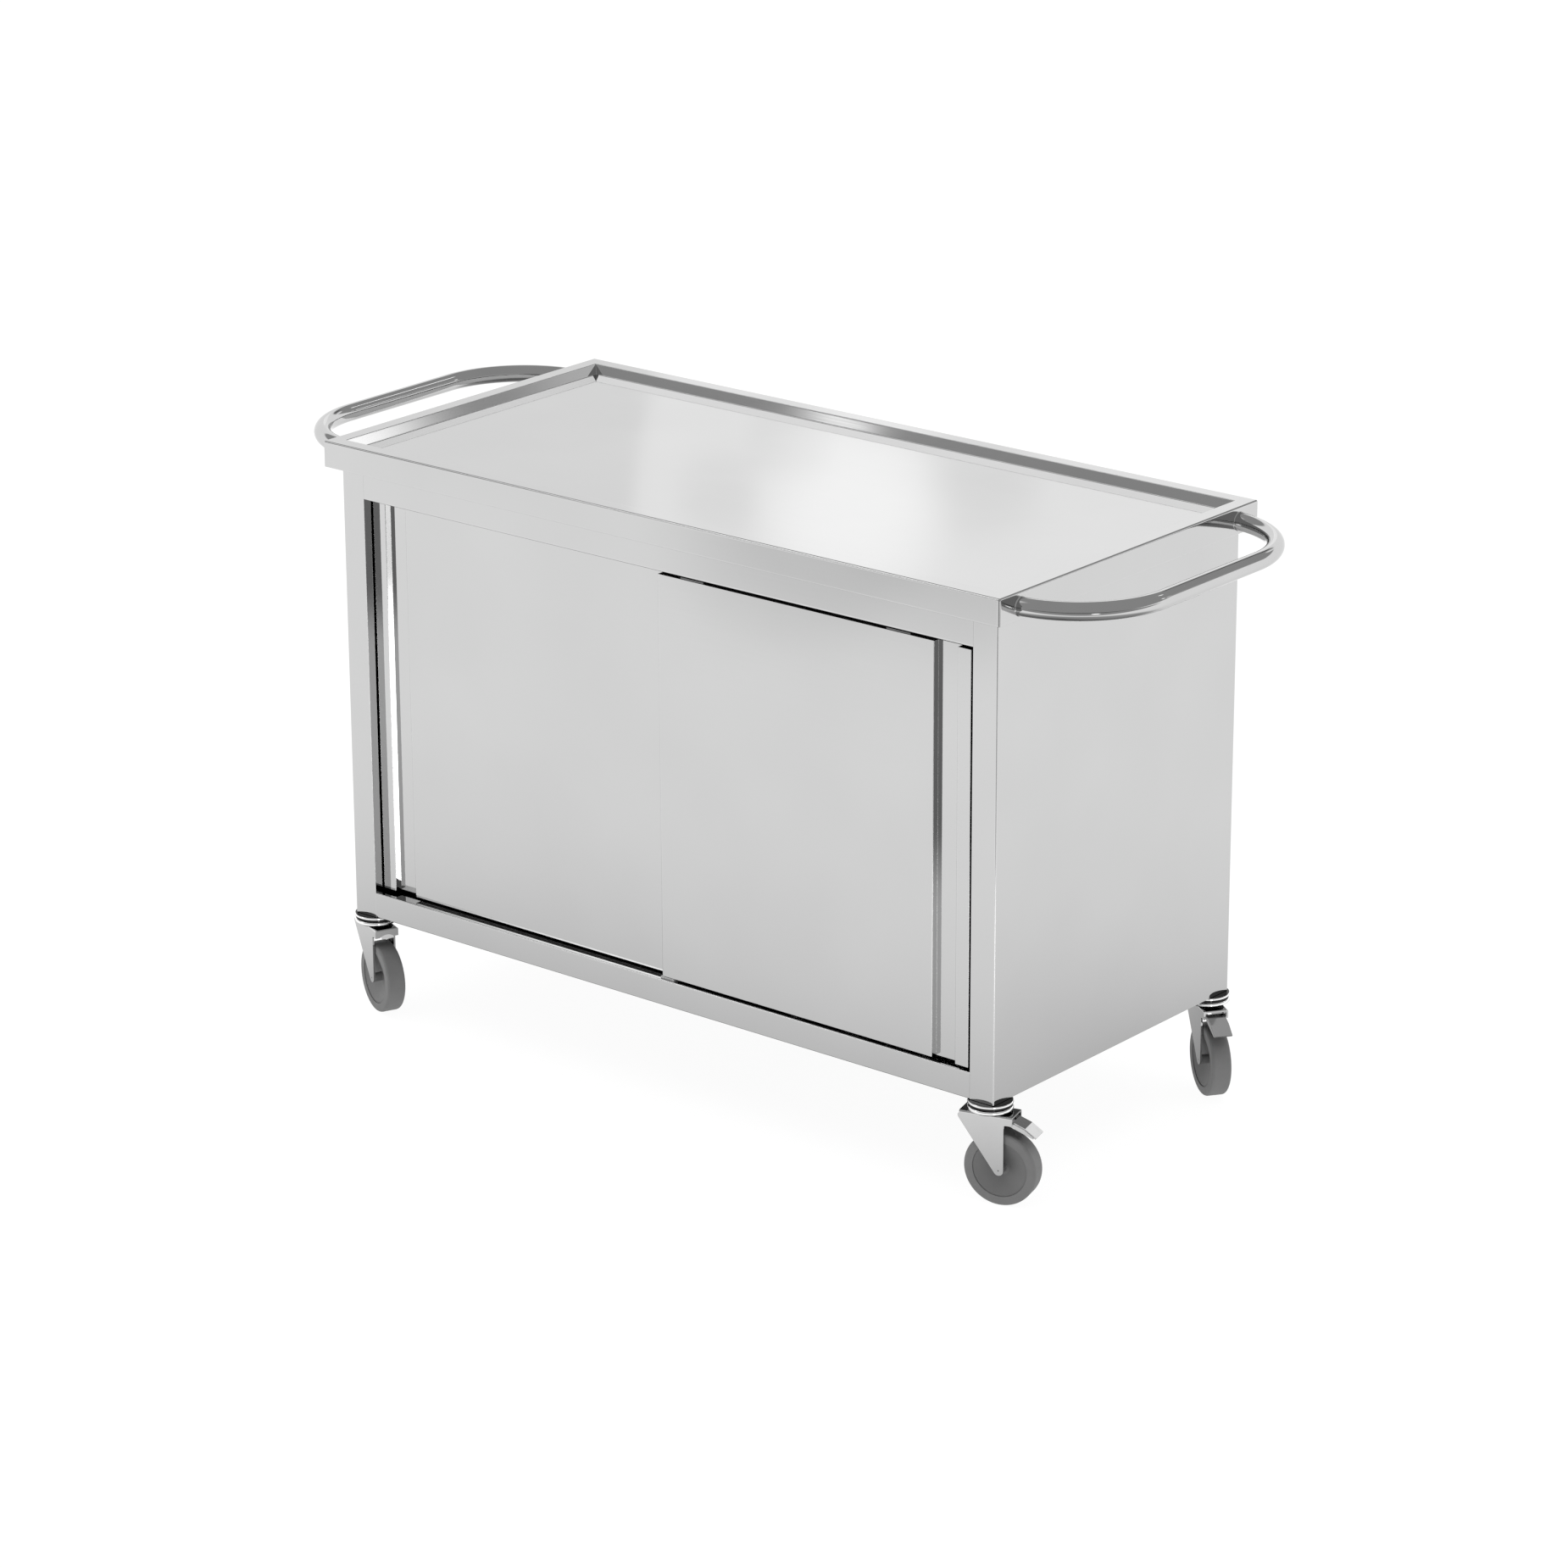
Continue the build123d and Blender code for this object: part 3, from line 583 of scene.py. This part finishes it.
# %% Top tray
sheet = 1.5
tray_low, tray_high = (np.array(corner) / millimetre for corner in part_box("top_tray"))
half_length, half_depth = tray_high[:2]
rim_height, apron_foot = tray_high[2], tray_low[2]
rim_width = 23.0
tray_sink = 14.0
wall_run = 7.0
hem_width = 12.0
edge_round = 2.6
foot_fold = 0.5
rim_fold = 1.2
deck_fold = 1.2
mitre_round = 0.4
corner_steps = 5
deck_margin = 3.0
deck_height = rim_height - tray_sink


def ring_round_tray(inset, elevation):
    """Points at one inset and height, all round: the sides move in, and the corners stay rounded.

    Each corner is an arc of radius max(edge round - inset, mitre round) about its own centre, and
    one point stands off it along each side.
    """
    radius = np.minimum(np.maximum(edge_round - inset, mitre_round), half_depth - inset)
    sweep = np.radians(np.linspace(0, 90, corner_steps + 1))
    turn = np.concatenate((sweep[:1], sweep, sweep[-1:]))
    stand = np.zeros(len(turn))
    stand[[0, -1]] = -fold_shoulder, fold_shoulder
    quarter = np.arange(4)[:, None] * np.pi / 2
    turn = (turn[None, :] + quarter).ravel()
    stand = np.tile(stand, 4) * (1 - inset / half_depth)
    side_x = np.repeat((1, -1, -1, 1), corner_steps + 3)
    side_y = np.repeat((1, 1, -1, -1), corner_steps + 3)
    # The stand-off slides along the tangent of the arc, which is (-sin, cos)
    x = side_x * (half_length - inset - radius) + radius * np.cos(turn) - stand * np.sin(turn)
    y = side_y * (half_depth - inset - radius) + radius * np.sin(turn) + stand * np.cos(turn)
    return np.stack((x, y, np.full_like(x, elevation)), axis=-1)


tray_corners = [(hem_width, apron_foot), (0, apron_foot), (0, rim_height), (rim_width, rim_height)]
tray_corners += [(rim_width + wall_run, deck_height), (rim_width + wall_run + deck_margin, deck_height)]
tray_radii = (foot_fold, edge_round, rim_fold, deck_fold)
print("tray", 2 * half_length, "by", 2 * half_depth, "mm, deck at", deck_height)


# %% Top tray mesh
def tray_grid(line):
    """Carry the profile round the rectangle: one ring for each of its points."""
    return np.stack([ring_round_tray(inset, elevation) for inset, elevation in line], axis=1)


tray_line, tray_marks = folded_line(tray_corners, tray_radii)
deck_rows = np.array([(half_depth / 2, deck_height), (half_depth, deck_height)])
tray_outer = tray_grid(np.concatenate((tray_line, deck_rows)))
under_line = second_side(tray_corners, tray_radii, -sheet)
tray_under = tray_grid(np.concatenate((under_line, deck_rows - (0, sheet))))
tray_shell = sheet_shell(tray_outer, tray_under, ("first_column",), wrap_rows=True)
tray_marks = np.append(tray_marks, np.zeros(len(deck_rows)))
make_piece("tray", tray_shell, sheet_along, "cabinet", ["top_tray"],
           np.tile(tray_marks, 2 * len(tray_outer)))

# %% [markdown]
# ## Push handles
# Each end has one tube, bent through two wide quarter turns and welded flush to the apron. A curve
# with a round bevel would be quick, but here a circle is carried along the bend so that each line of
# the tube starts exactly on the apron's face, and the tube swells into a small weld there.

# %% Push handles
tube_radius = 12.7
bend_radius = 140.0
weld_swell = 0.8
weld_length = 2.0
tube_around = 64
bend_run = 200.0
bend_first, bend_steps = 0.025, 48
weld_rings = np.array((0, 0.3, 0.7, 1.2, 1.6, 2.0, 3.0)) / bend_run
bend_rings = np.linspace(bend_first, 1, bend_steps)
grip_rings = np.array((3.0, 10.0))
handle_low, handle_high = (np.array(corner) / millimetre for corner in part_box("handle_right"))
tube_far = handle_high[0] - tube_radius
tube_height = (handle_low[2] + handle_high[2]) / 2
bend_x = tube_far - bend_radius
bend_y = handle_high[1] - tube_radius - bend_radius


def tube_swell(distance):
    """Radius of the tube: a quadratic swelling within the weld's length of the apron."""
    near = np.clip(1 - distance / weld_length, 0, 1)
    return tube_radius + weld_swell * near ** 2


def handle_shell(end):
    """Tube in three parts: a quarter turn from the apron, the straight grip, and a quarter turn back.

    About the bend's middle a point is at (R + r cos a) sin t outward and (R + r cos a) cos t sideways,
    with r sin a upward. A line of the tube starts where that first term meets the apron's face.
    """
    around = np.linspace(0, 2 * np.pi, tube_around, endpoint=False)
    share = np.concatenate((weld_rings, bend_rings))[:, None]
    gap = half_length - bend_x
    start = np.arcsin(gap / (bend_radius + tube_radius * np.cos(around)))[None, :]
    angle = start + (np.pi / 2 - start) * share
    radius = tube_swell(bend_radius * (angle - start))
    arm = bend_radius + radius * np.cos(around)
    x = np.maximum(bend_x + arm * np.sin(angle), half_length)
    side = bend_y + arm * np.cos(angle)
    z = tube_height + radius * np.sin(around)
    grip_side = np.broadcast_to((bend_y - grip_rings)[:, None], (len(grip_rings), tube_around))
    x = np.concatenate((x, np.broadcast_to(x[-1], grip_side.shape)))
    z = np.concatenate((z, np.broadcast_to(z[-1], grip_side.shape)))
    side = np.concatenate((side, grip_side))
    first = np.stack((x, -side, z), axis=-1)
    last = np.stack((x, side, z), axis=-1)[::-1]
    tube = np.concatenate((first, last)) * (end, 1, 1)
    points = tube.reshape(-1, 3)
    middles = np.stack((tube[0].mean(axis=0), tube[-1].mean(axis=0)))
    faces = [grid_faces(*tube.shape[:2], wrap_columns=True)]
    ring = np.arange(tube_around)
    for k, base in enumerate((0, len(points) - tube_around)):
        hub = np.full(tube_around, len(points) + k)
        faces.append(np.stack((base + ring, base + np.roll(ring, -1), hub, hub), axis=-1))
    return np.concatenate((points, middles)), np.concatenate(faces)


for side, end in (("right", 1), ("left", -1)):
    make_piece("handle_tube_" + side, handle_shell(end), tube_polish, "cabinet",
               ["handle_" + side], flat=False)

# %% [markdown]
# ## Cabinet sheets
# Each end of the cabinet is one sheet whose front return is the post beside the doors. Two rails
# close the front above and below the doors, and a floor and a shelf lie inside. Boxes would be
# quick, but a box has no folds to catch the light. All of these are folded lines carried straight
# along one axis; only the lines differ.

# %% End panels
body_low, body_high = (np.array(corner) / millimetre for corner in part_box("side_panel_right"))
body_x, body_y, body_foot, panel_top = body_high[0], body_high[1], body_low[2], body_high[2]
opening_x = body_low[0]
post_return = 14.4
rear_flange = 30.0
crisp_fold = 1.6
seam_fold = 0.3
deck_under = deck_height - sheet
end_radii = (seam_fold, crisp_fold, crisp_fold)


def end_panel(end):
    """Post, end and rear flange in plan, carried upward; the post's return stops under the deck."""
    corners = [(opening_x, post_return - body_y), (opening_x, -body_y), (body_x, -body_y)]
    corners += [(body_x, body_y), (body_x - rear_flange, body_y)]
    line, marks = folded_line(corners, end_radii)
    outer = lay_along(line, "z", (body_foot, panel_top))
    inner = lay_along(second_side(corners, end_radii, sheet), "z", (body_foot, panel_top))
    for grid in (outer, inner):
        post = (grid[1, :, 0] < opening_x + 2 * sheet + fold_shoulder) & (grid[1, :, 1] < 0)
        grid[1, post, 2] = deck_under
        grid[..., 0] *= end
    return sheet_shell(outer, inner), np.tile(marks, 4)


for side, end in (("right", 1), ("left", -1)):
    shell, marks = end_panel(end)
    make_piece("end_panel_" + side, shell, sheet_across, "cabinet",
               ["side_panel_" + side], marks)

# %% Rails, floor and shelf
head_flange = 35.0
head_return = 5.0
ledge_lip = 15.0
foot_return = 20.0
floor_lip = 25.0
shelf_lip = 20.0
opening_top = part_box("top_rail")[0][2] / millimetre
opening_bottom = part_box("bottom_rail")[1][2] / millimetre
ledge_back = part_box("bottom_rail")[1][1] / millimetre
back_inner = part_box("back_panel")[0][1] / millimetre
shelf_low, shelf_high = (np.array(corner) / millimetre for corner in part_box("mid_shelf"))
inner_x = body_x - sheet
# Node, half length and corners of each line
sheets = {
    "head_rail": ("top_rail", opening_x, [
        (head_flange - body_y, deck_under), (-body_y, deck_under),
        (-body_y, opening_top), (head_return - body_y, opening_top)]),
    "foot_rail": ("bottom_rail", opening_x, [
        (ledge_back, opening_bottom - ledge_lip), (ledge_back, opening_bottom),
        (-body_y, opening_bottom), (-body_y, body_foot), (foot_return - body_y, body_foot)]),
    "cabinet_floor": ("floor_panel", inner_x, [
        (back_inner, opening_bottom - floor_lip), (back_inner, opening_bottom),
        (ledge_back, opening_bottom), (ledge_back, opening_bottom - floor_lip)]),
    "shelf": ("mid_shelf", inner_x, [
        (back_inner, shelf_high[2] - shelf_lip), (back_inner, shelf_high[2]),
        (shelf_low[1], shelf_high[2]), (shelf_low[1], shelf_low[2])]),
}
for name, (node, reach, corners) in sheets.items():
    shell, marks = folded_sheet(corners, sheet, crisp_fold, "x", (-reach, reach))
    make_piece(name, shell, sheet_along, "cabinet", [node], marks)

# %% [markdown]
# ## Sliding doors
# Each door has a front skin folded from one sheet: the flat face, a channel over its whole height to
# pull it by, and a flange that closes the end. A Boolean could cut the channel out of a box, but a
# folded line keeps one thickness all the way. The two doors are the same section turned round,
# one in the front track and one behind it.

# %% Door skins
door_sheet = 1.0
door_radii = (1.4, 0.9, 0.25, 0.25, 0.9, 0.9)
pull_flange = 22.0
pull_width = 39.0
pull_lean = 1.26
flange_reach = 1.4


def door_section(length, back, lean, reach):
    """Plan of a skin from its inner end: return, face, channel with a leaning outer wall, flange, return.

    The flange reaches a little nearer to the post than the stiff door behind it.
    """
    deep = back - door_sheet
    face_end = length - pull_flange - pull_width
    flange_start = length - pull_flange
    line = [(0, back), (0, 0), (face_end, 0), (face_end, deep)]
    line += [(flange_start - lean, deep), (flange_start, 0)]
    return line + [(length + reach, 0), (length + reach, back)]


for side, direction, lean, reach in (("right", 1, 0.0, 0.0), ("left", -1, pull_lean, flange_reach)):
    low, high = (np.array(corner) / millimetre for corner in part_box(side + "_door_front"))
    corners = door_section(high[0] - low[0], high[1] - low[1], lean, reach)
    (points, faces), marks = folded_sheet(corners, door_sheet, door_radii, "z", (low[2], high[2]))
    inner_end = low[0] if direction > 0 else high[0]
    points = points * (direction, 1, 1) + (inner_end, low[1], 0)
    make_piece(side + "_door_skin", (points, faces), sheet_along, side + "_door",
               [side + "_door_front"], marks)

# %% [markdown]
# ## Casters
# A swivel caster is a fork under a ball race, with a wheel that trails behind the pivot. Races, tyre,
# hub and axle are turned: a profile of radius and height goes round an axis. A Screw modifier could
# do that, but the grid of points is at hand. Each caster is drawn about its own pivot and then
# turned to the angle at which the frame holds it.

# %% Turned pieces
turned_steps = 96
caster_trail = 19.0
axle_height = 52.0
casters = ("front_right", "front_left", "rear_right", "rear_left")
joint_of = {joint["child"]: joint for joint in frame["joints"]}


def turned(profile, axis):
    """Carry a closed profile of (radius, height) round an axis: (r cos t, r sin t) beside the height."""
    angle = np.linspace(0, 2 * np.pi, turned_steps, endpoint=False)[:, None]
    across, upward = profile[None, :, 0] * np.cos(angle), profile[None, :, 0] * np.sin(angle)
    along = np.broadcast_to(profile[None, :, 1], across.shape)
    order = {"z": (across, upward, along), "y": (across, along, upward)}
    points = np.stack(order[axis], axis=-1)
    return points.reshape(-1, 3), grid_faces(*points.shape[:2], wrap_rows=True, wrap_columns=True)


def seat(shell, corner):
    """Turn a shell by the angle of the caster's axle and move it to the caster's pivot."""
    points, faces = shell
    pivot = np.array(joint_of["swivel_" + corner]["pos_m"]) / millimetre
    across = joint_of["wheel_" + corner]["axis"]
    turn = np.arctan2(-across[0], across[1])
    x = points[:, 0] * np.cos(turn) - points[:, 1] * np.sin(turn) + pivot[0]
    y = points[:, 0] * np.sin(turn) + points[:, 1] * np.cos(turn) + pivot[1]
    return np.stack((x, y, points[:, 2]), axis=-1), faces


def at_axle(shell):
    """Move a shell drawn about the origin to the wheel's axle."""
    points, faces = shell
    return points + (caster_trail, 0, axle_height), faces


# %% Races
swivel_bore = 6.0
swivel_fit = 0.3
fork_top = 131.0
ring_radius = 31.2
foot_radius = 25.0
groove_radius = 29.6
neck_radius = 16.0
ring_foot, ring_top = 134.0, 139.0
groove_foot, groove_top, rim_top = 139.4, 143.4, 146.4
# Painted shade and painted highlight of the races, added to the zinc's tone as marks
race_painted_shade, race_painted_highlight = -0.57, 0.36
lower_rounds = (0.3, 0.3, 1.2, 2.2)
upper_rounds = (0.5, 0.5, 0.4, 1.4, 0.3, 0.3)
band_margin = 0.1
bore_radius = swivel_bore + swivel_fit
lower_line = [(bore_radius, fork_top), (foot_radius, fork_top), (foot_radius, ring_foot)]
lower_line += [(ring_radius, ring_foot), (ring_radius, ring_top), (bore_radius, ring_top)]
upper_line = [(swivel_bore, groove_foot), (groove_radius, groove_foot), (groove_radius, groove_top)]
upper_line += [(ring_radius, groove_top), (ring_radius, rim_top), (neck_radius, rim_top)]
upper_line += [(neck_radius, body_foot), (swivel_bore, body_foot)]
lower_shell = turned(folded_line(lower_line, lower_rounds)[0], "z")
upper_shell = turned(folded_line(upper_line, upper_rounds)[0], "z")
# Painted highlight: the rings are pale all round. Painted shade: groove, neck, foot and the faces between the
# races are dark
upper_z, lower_z = upper_shell[0][:, 2], lower_shell[0][:, 2]
dark = (upper_z > rim_top - band_margin) | (upper_z < groove_top - band_margin)
race_painted_light = np.where(dark, race_painted_shade, race_painted_highlight)
make_piece("upper_race_rings", join_shells(*[seat(upper_shell, corner) for corner in casters]), zinc_plate,
           "cabinet", ["upper_races"], np.tile(race_painted_light, len(casters)))
dark = (lower_z > ring_top - band_margin) | (lower_z < ring_foot - band_margin)
race_painted_light = np.where(dark, race_painted_shade, race_painted_highlight)
for corner in casters:
    make_piece("lower_race_ring_" + corner, seat(lower_shell, corner), zinc_plate, "swivel_" + corner,
               ["lower_race_" + corner], race_painted_light)

# %% [markdown]
# ## Forks
# A fork is pressed from plate: a flat crown, two slanted legs with a round tip at the axle, and a
# tail behind. The leg's outline is not a plain strip, so the surface is ruled: one edge follows the
# fold under the crown, the other runs round the outline of the leg, and the legs, the two folds and the
# crown make one grid.

# %% Forks
fork_sheet = 2.5
fork_half = 18.0
fork_bend = 2.7
fork_front = -38.0
fork_tail = 37.7
tail_foot = fork_top - 12.5
tail_round = 3.0
tip_radius = 7.0
shoulder_radius = 6.0
shoulder_middle = (-34.0, fork_top - 7.0)
shoulder_start = 161.6
arch_radius = 17.0
arch_rise = 4.0
crown_painted_shade = -0.42
rear_margin = 1e-6
shoulder_steps, tip_steps, rise_steps = 9, 17, 6
bend_points = 7
lip_points = 33


def arc_points(middle, radius, start, end, steps):
    """Points of an arc between two angles in degrees."""
    angle = np.radians(np.linspace(start, end, steps))
    return np.stack((middle[0] + radius * np.cos(angle), middle[1] + radius * np.sin(angle)), axis=-1)


def leg_outline():
    """Outline of a leg from the front of the crown round the tip to the tail, as (x, z)."""
    axle = (caster_trail, axle_height)
    drop = np.subtract(axle, shoulder_middle)
    slant = np.degrees(np.arctan2(drop[1], drop[0])) - 90
    shoulder = arc_points(shoulder_middle, shoulder_radius, shoulder_start, 360 + slant, shoulder_steps)
    tip = arc_points(axle, tip_radius, slant, 0, tip_steps)
    rise_middle = (caster_trail + tip_radius + tail_round, tail_foot - tail_round)
    rise = arc_points(rise_middle, tail_round, 180, 90, rise_steps)
    return np.concatenate((shoulder, tip, rise, [(fork_tail, tail_foot)]))


def fork_side(outline, half, bend):
    """Grid of one side of the fork's sheet: leg edge, fold, crown, fold, leg edge at each outline point.

    The upper edge's x runs with the length of the outline up to the tip's rear, then follows its x.
    """
    step = np.linalg.norm(np.diff(outline, axis=0), axis=1)
    length = np.concatenate(([0], np.cumsum(step)))
    rear = int(np.argmax(outline[:, 0] >= caster_trail + tip_radius - rear_margin))
    upper_x = outline[:, 0].copy()
    upper_x[:rear + 1] = fork_front + (outline[rear, 0] - fork_front) * length[:rear + 1] / length[rear]
    angle = np.radians(np.linspace(0, 90, bend_points))
    centre_y, centre_z = fork_half - fork_bend, fork_top - fork_bend
    fold_y, fold_z = centre_y + bend * np.cos(angle), centre_z + bend * np.sin(angle)
    side_y = np.concatenate(([half, half], fold_y, [centre_y - fold_shoulder]))
    side_z = np.concatenate(([0, centre_z - fold_shoulder], fold_z, [centre_z + bend]))
    y = np.concatenate((side_y, -side_y[::-1]))
    z = np.concatenate((side_z, side_z[::-1]))
    grid_y = np.broadcast_to(y, (len(outline), len(y)))
    grid_z = np.broadcast_to(z, grid_y.shape).copy()
    grid_x = np.broadcast_to(upper_x[:, None], grid_y.shape).copy()
    for column in (0, -1):
        grid_x[:, column] = outline[:, 0]
        grid_z[:, column] = outline[:, 1]
    return np.stack((grid_x, grid_y, grid_z), axis=-1)


def fork_shell():
    """Both sides of the fork's sheet."""
    outline = leg_outline()
    return sheet_shell(fork_side(outline, fork_half, fork_bend),
                       fork_side(outline, fork_half - fork_sheet, fork_bend - fork_sheet))


def tail_lip():
    """Lip that closes the tail of a fork with no pedal; its lower edge is a shallow arch."""
    half = fork_half - fork_sheet
    y = np.linspace(-half, half, lip_points)
    arch = tail_foot + arch_rise - arch_radius + np.sqrt(arch_radius ** 2 - y ** 2)
    edge = np.stack((np.maximum(arch, tail_foot), np.full_like(y, fork_top - fork_sheet)))
    across = np.broadcast_to(y, edge.shape)
    outer, inner = (np.stack((np.full_like(edge, x), across, edge), axis=-1)
                    for x in (fork_tail, fork_tail - fork_sheet))
    return sheet_shell(outer, inner)


braked = [corner for corner in casters if "pedal_" + corner in frame["nodes"]]
for corner in casters:
    shell = fork_shell() if corner in braked else join_shells(fork_shell(), tail_lip())
    # Painted shade: the flat crown, under the cabinet, is darker than the legs
    on_crown = np.abs(shell[0][:, 1]) < fork_half - fork_bend + band_margin
    on_crown &= shell[0][:, 2] > fork_top - fork_sheet
    make_piece("caster_fork_" + corner, seat(shell, corner), zinc_plate, "swivel_" + corner,
               ["fork_" + corner], crown_painted_shade * on_crown)

# %% [markdown]
# ## Wheels
# The tyre is a ring of grey rubber with rounded shoulders, pressed on a moulded hub whose web is dished
# between a thin rim and a boss. The axle ends inside the plate of the fork, and only the dark dot at its
# middle is seen. All three are turned about one line.

# %% Wheels
wheel_radius = 52.0
tyre_half = 14.0
tyre_bore = 39.0
tyre_shoulder = 4.0
tyre_lip = 0.7
tyre_seam = 1.0
hub_half = 12.5
web_half = 3.0
rim_inside = 36.5
dish_inside = 10.5
boss_radius = 6.5
boss_half = 15.2
axle_radius = 4.0
axle_fit = 0.08
axle_sink = 0.3
dot_radius = 0.9
dot_proud = 0.05
axle_round = 0.02
tyre_line = [(tyre_bore, 0), (tyre_bore, -tyre_half), (wheel_radius, -tyre_half), (wheel_radius, tyre_half)]
tyre_line += [(tyre_bore, tyre_half), (tyre_bore, tyre_seam)]
tyre_profile = folded_line(tyre_line, (tyre_lip, tyre_shoulder, tyre_shoulder, tyre_lip))[0]
hub_side = np.array([(axle_radius + axle_fit, boss_half), (boss_radius, boss_half), (boss_radius, web_half),
                     (dish_inside, web_half), (rim_inside, hub_half), (tyre_bore, hub_half)])
hub_line = np.concatenate((hub_side, hub_side[::-1] * (1, -1)))
hub_radii = np.array((0.8, 0.8, 3.0, 0.8, 0.4))
hub_profile = folded_line(hub_line, np.concatenate((hub_radii, hub_radii[::-1])))[0]
dot_end, axle_end = fork_half + dot_proud, fork_half - axle_sink
axle_side = np.array([(0, dot_end), (dot_radius, dot_end),
                      (dot_radius, axle_end), (axle_radius, axle_end)])
axle_line = np.concatenate((axle_side, axle_side[::-1] * (1, -1)))
axle_profile = folded_line(axle_line, axle_round)[0]
# The dot at the axle's middle is darkened by the same amount as the races' painted shade
axle_marks = np.tile(race_painted_shade * (np.abs(axle_profile[:, 1]) > fork_half), turned_steps)
for corner in casters:
    for name, profile, finish, body, slot, marks in (
            ("tyre", tyre_profile, tyre_rubber, "wheel_", "tyre_grey", None),
            ("hub", hub_profile, hub_plastic, "wheel_", "hub_plastic", None),
            ("axle", axle_profile, zinc_plate, "swivel_", "zinc_steel", axle_marks)):
        make_piece("caster_" + name + "_" + corner, seat(at_axle(turned(profile, "y")), corner), finish,
                   body + corner, [name + "_" + corner], marks)

# %% [markdown]
# ## Brake pedals
# A pedal is a bent plate whose two skirts run back to a pin in the fork; a rubber pad under it meets the
# tyre when a foot presses the tip. The plate is a folded line carried across, and each skirt is ruled
# between its upper and its lower edge.

# %% Brake pedals
pedal_sheet = 2.5
pedal_half = 13.0
pedal_fold = 0.8
pedal_start, pedal_knee, pedal_tip = (34.0, 124.6), (55.1, 116.7), (71.1, 105.7)
pedal_pin = (32.0, 121.0)
pin_radius = 2.0
pin_round = 0.2
ear_radius = 4.0
ear_back, ear_over, ear_under = 180.0, 70.0, 249.0
ear_steps = 9
skirt_steps = 3
skirt_low, skirt_high = (66.3, 103.4), (68.2, 106.2)


def pedal_skirt(y):
    """Flat skirt from the round ear at the pin to the tip, its upper edge hidden in the plate."""
    upper_ear = arc_points(pedal_pin, ear_radius, ear_back, ear_over, ear_steps)
    lower_ear = arc_points(pedal_pin, ear_radius, ear_back, ear_under, ear_steps)
    under = np.array((0, pedal_sheet / 2))
    upper = np.concatenate((upper_ear, [pedal_start - under, pedal_knee - under, skirt_high]))
    share = np.linspace(0, 1, skirt_steps + 1)[1:, None]
    lower = np.concatenate((lower_ear, lower_ear[-1] + share * (skirt_low - lower_ear[-1])))
    edges = np.stack((upper, lower))
    inner_y = y - np.sign(y) * pedal_sheet
    outer, inner = (np.stack((edges[..., 0], np.full(edges.shape[:2], level), edges[..., 1]), axis=-1)
                    for level in (y, inner_y))
    return sheet_shell(outer, inner)


plate_shell = folded_sheet([pedal_tip, pedal_knee, pedal_start], pedal_sheet, pedal_fold, "y",
                           (-pedal_half, pedal_half))[0]
pedal_shell = join_shells(plate_shell, pedal_skirt(pedal_half), pedal_skirt(-pedal_half))
pin_side = np.array([(0, axle_end), (pin_radius, axle_end)])
pin_profile = folded_line(np.concatenate((pin_side, pin_side[::-1] * (1, -1))), pin_round)[0]
pin_points, pin_faces = turned(pin_profile, "y")
pin_shell = pin_points + (pedal_pin[0], 0, pedal_pin[1]), pin_faces
for corner in braked:
    make_piece("brake_pedal_" + corner, seat(pedal_shell, corner), zinc_plate, "brake_" + corner,
               ["pedal_" + corner])
    make_piece("brake_pin_" + corner, seat(pin_shell, corner), zinc_plate, "swivel_" + corner,
               ["pedal_pin_" + corner])

# %% [markdown]
# ## Parts kept from the frame
# What lies inside is already right in the frame: back panel, stiffeners, brackets, track, hangers,
# rollers, stops, plates, bolts and pads. They keep their meshes, and each takes the finish that
# its slot in the record names; the track's finish is nearly black, as painted shade for the gap
# above the doors. The bars and hangers above the doors and the stiffeners under the deck take a
# dark rough steel instead, as painted shade where they sit in the dark.

# %% Finishes of the kept parts
slot_finishes = {"brushed_steel": sheet_along, "polished_tube": tube_polish, "zinc_steel": zinc_plate,
                 "tyre_grey": tyre_rubber, "hub_plastic": hub_plastic, "track_aluminium": track_painted_shade_metal,
                 "guide_nylon": guide_nylon, "black_rubber": black_rubber}
# Parts that take the dark steel of painted shade
parts_in_painted_shade = ("top_bar", "hangers", "deck_stiffeners")
kept = 0
for part in frame["record"]["subparts"]:
    node = frame["nodes"][part["node"]]
    finish = inner_steel_painted_shade if part["node"].endswith(parts_in_painted_shade) else slot_finishes[part["material_slot"]]
    node.data.materials.clear()
    node.data.materials.append(finish)
    kept += not node.hide_render
print(kept, "parts kept from the frame")
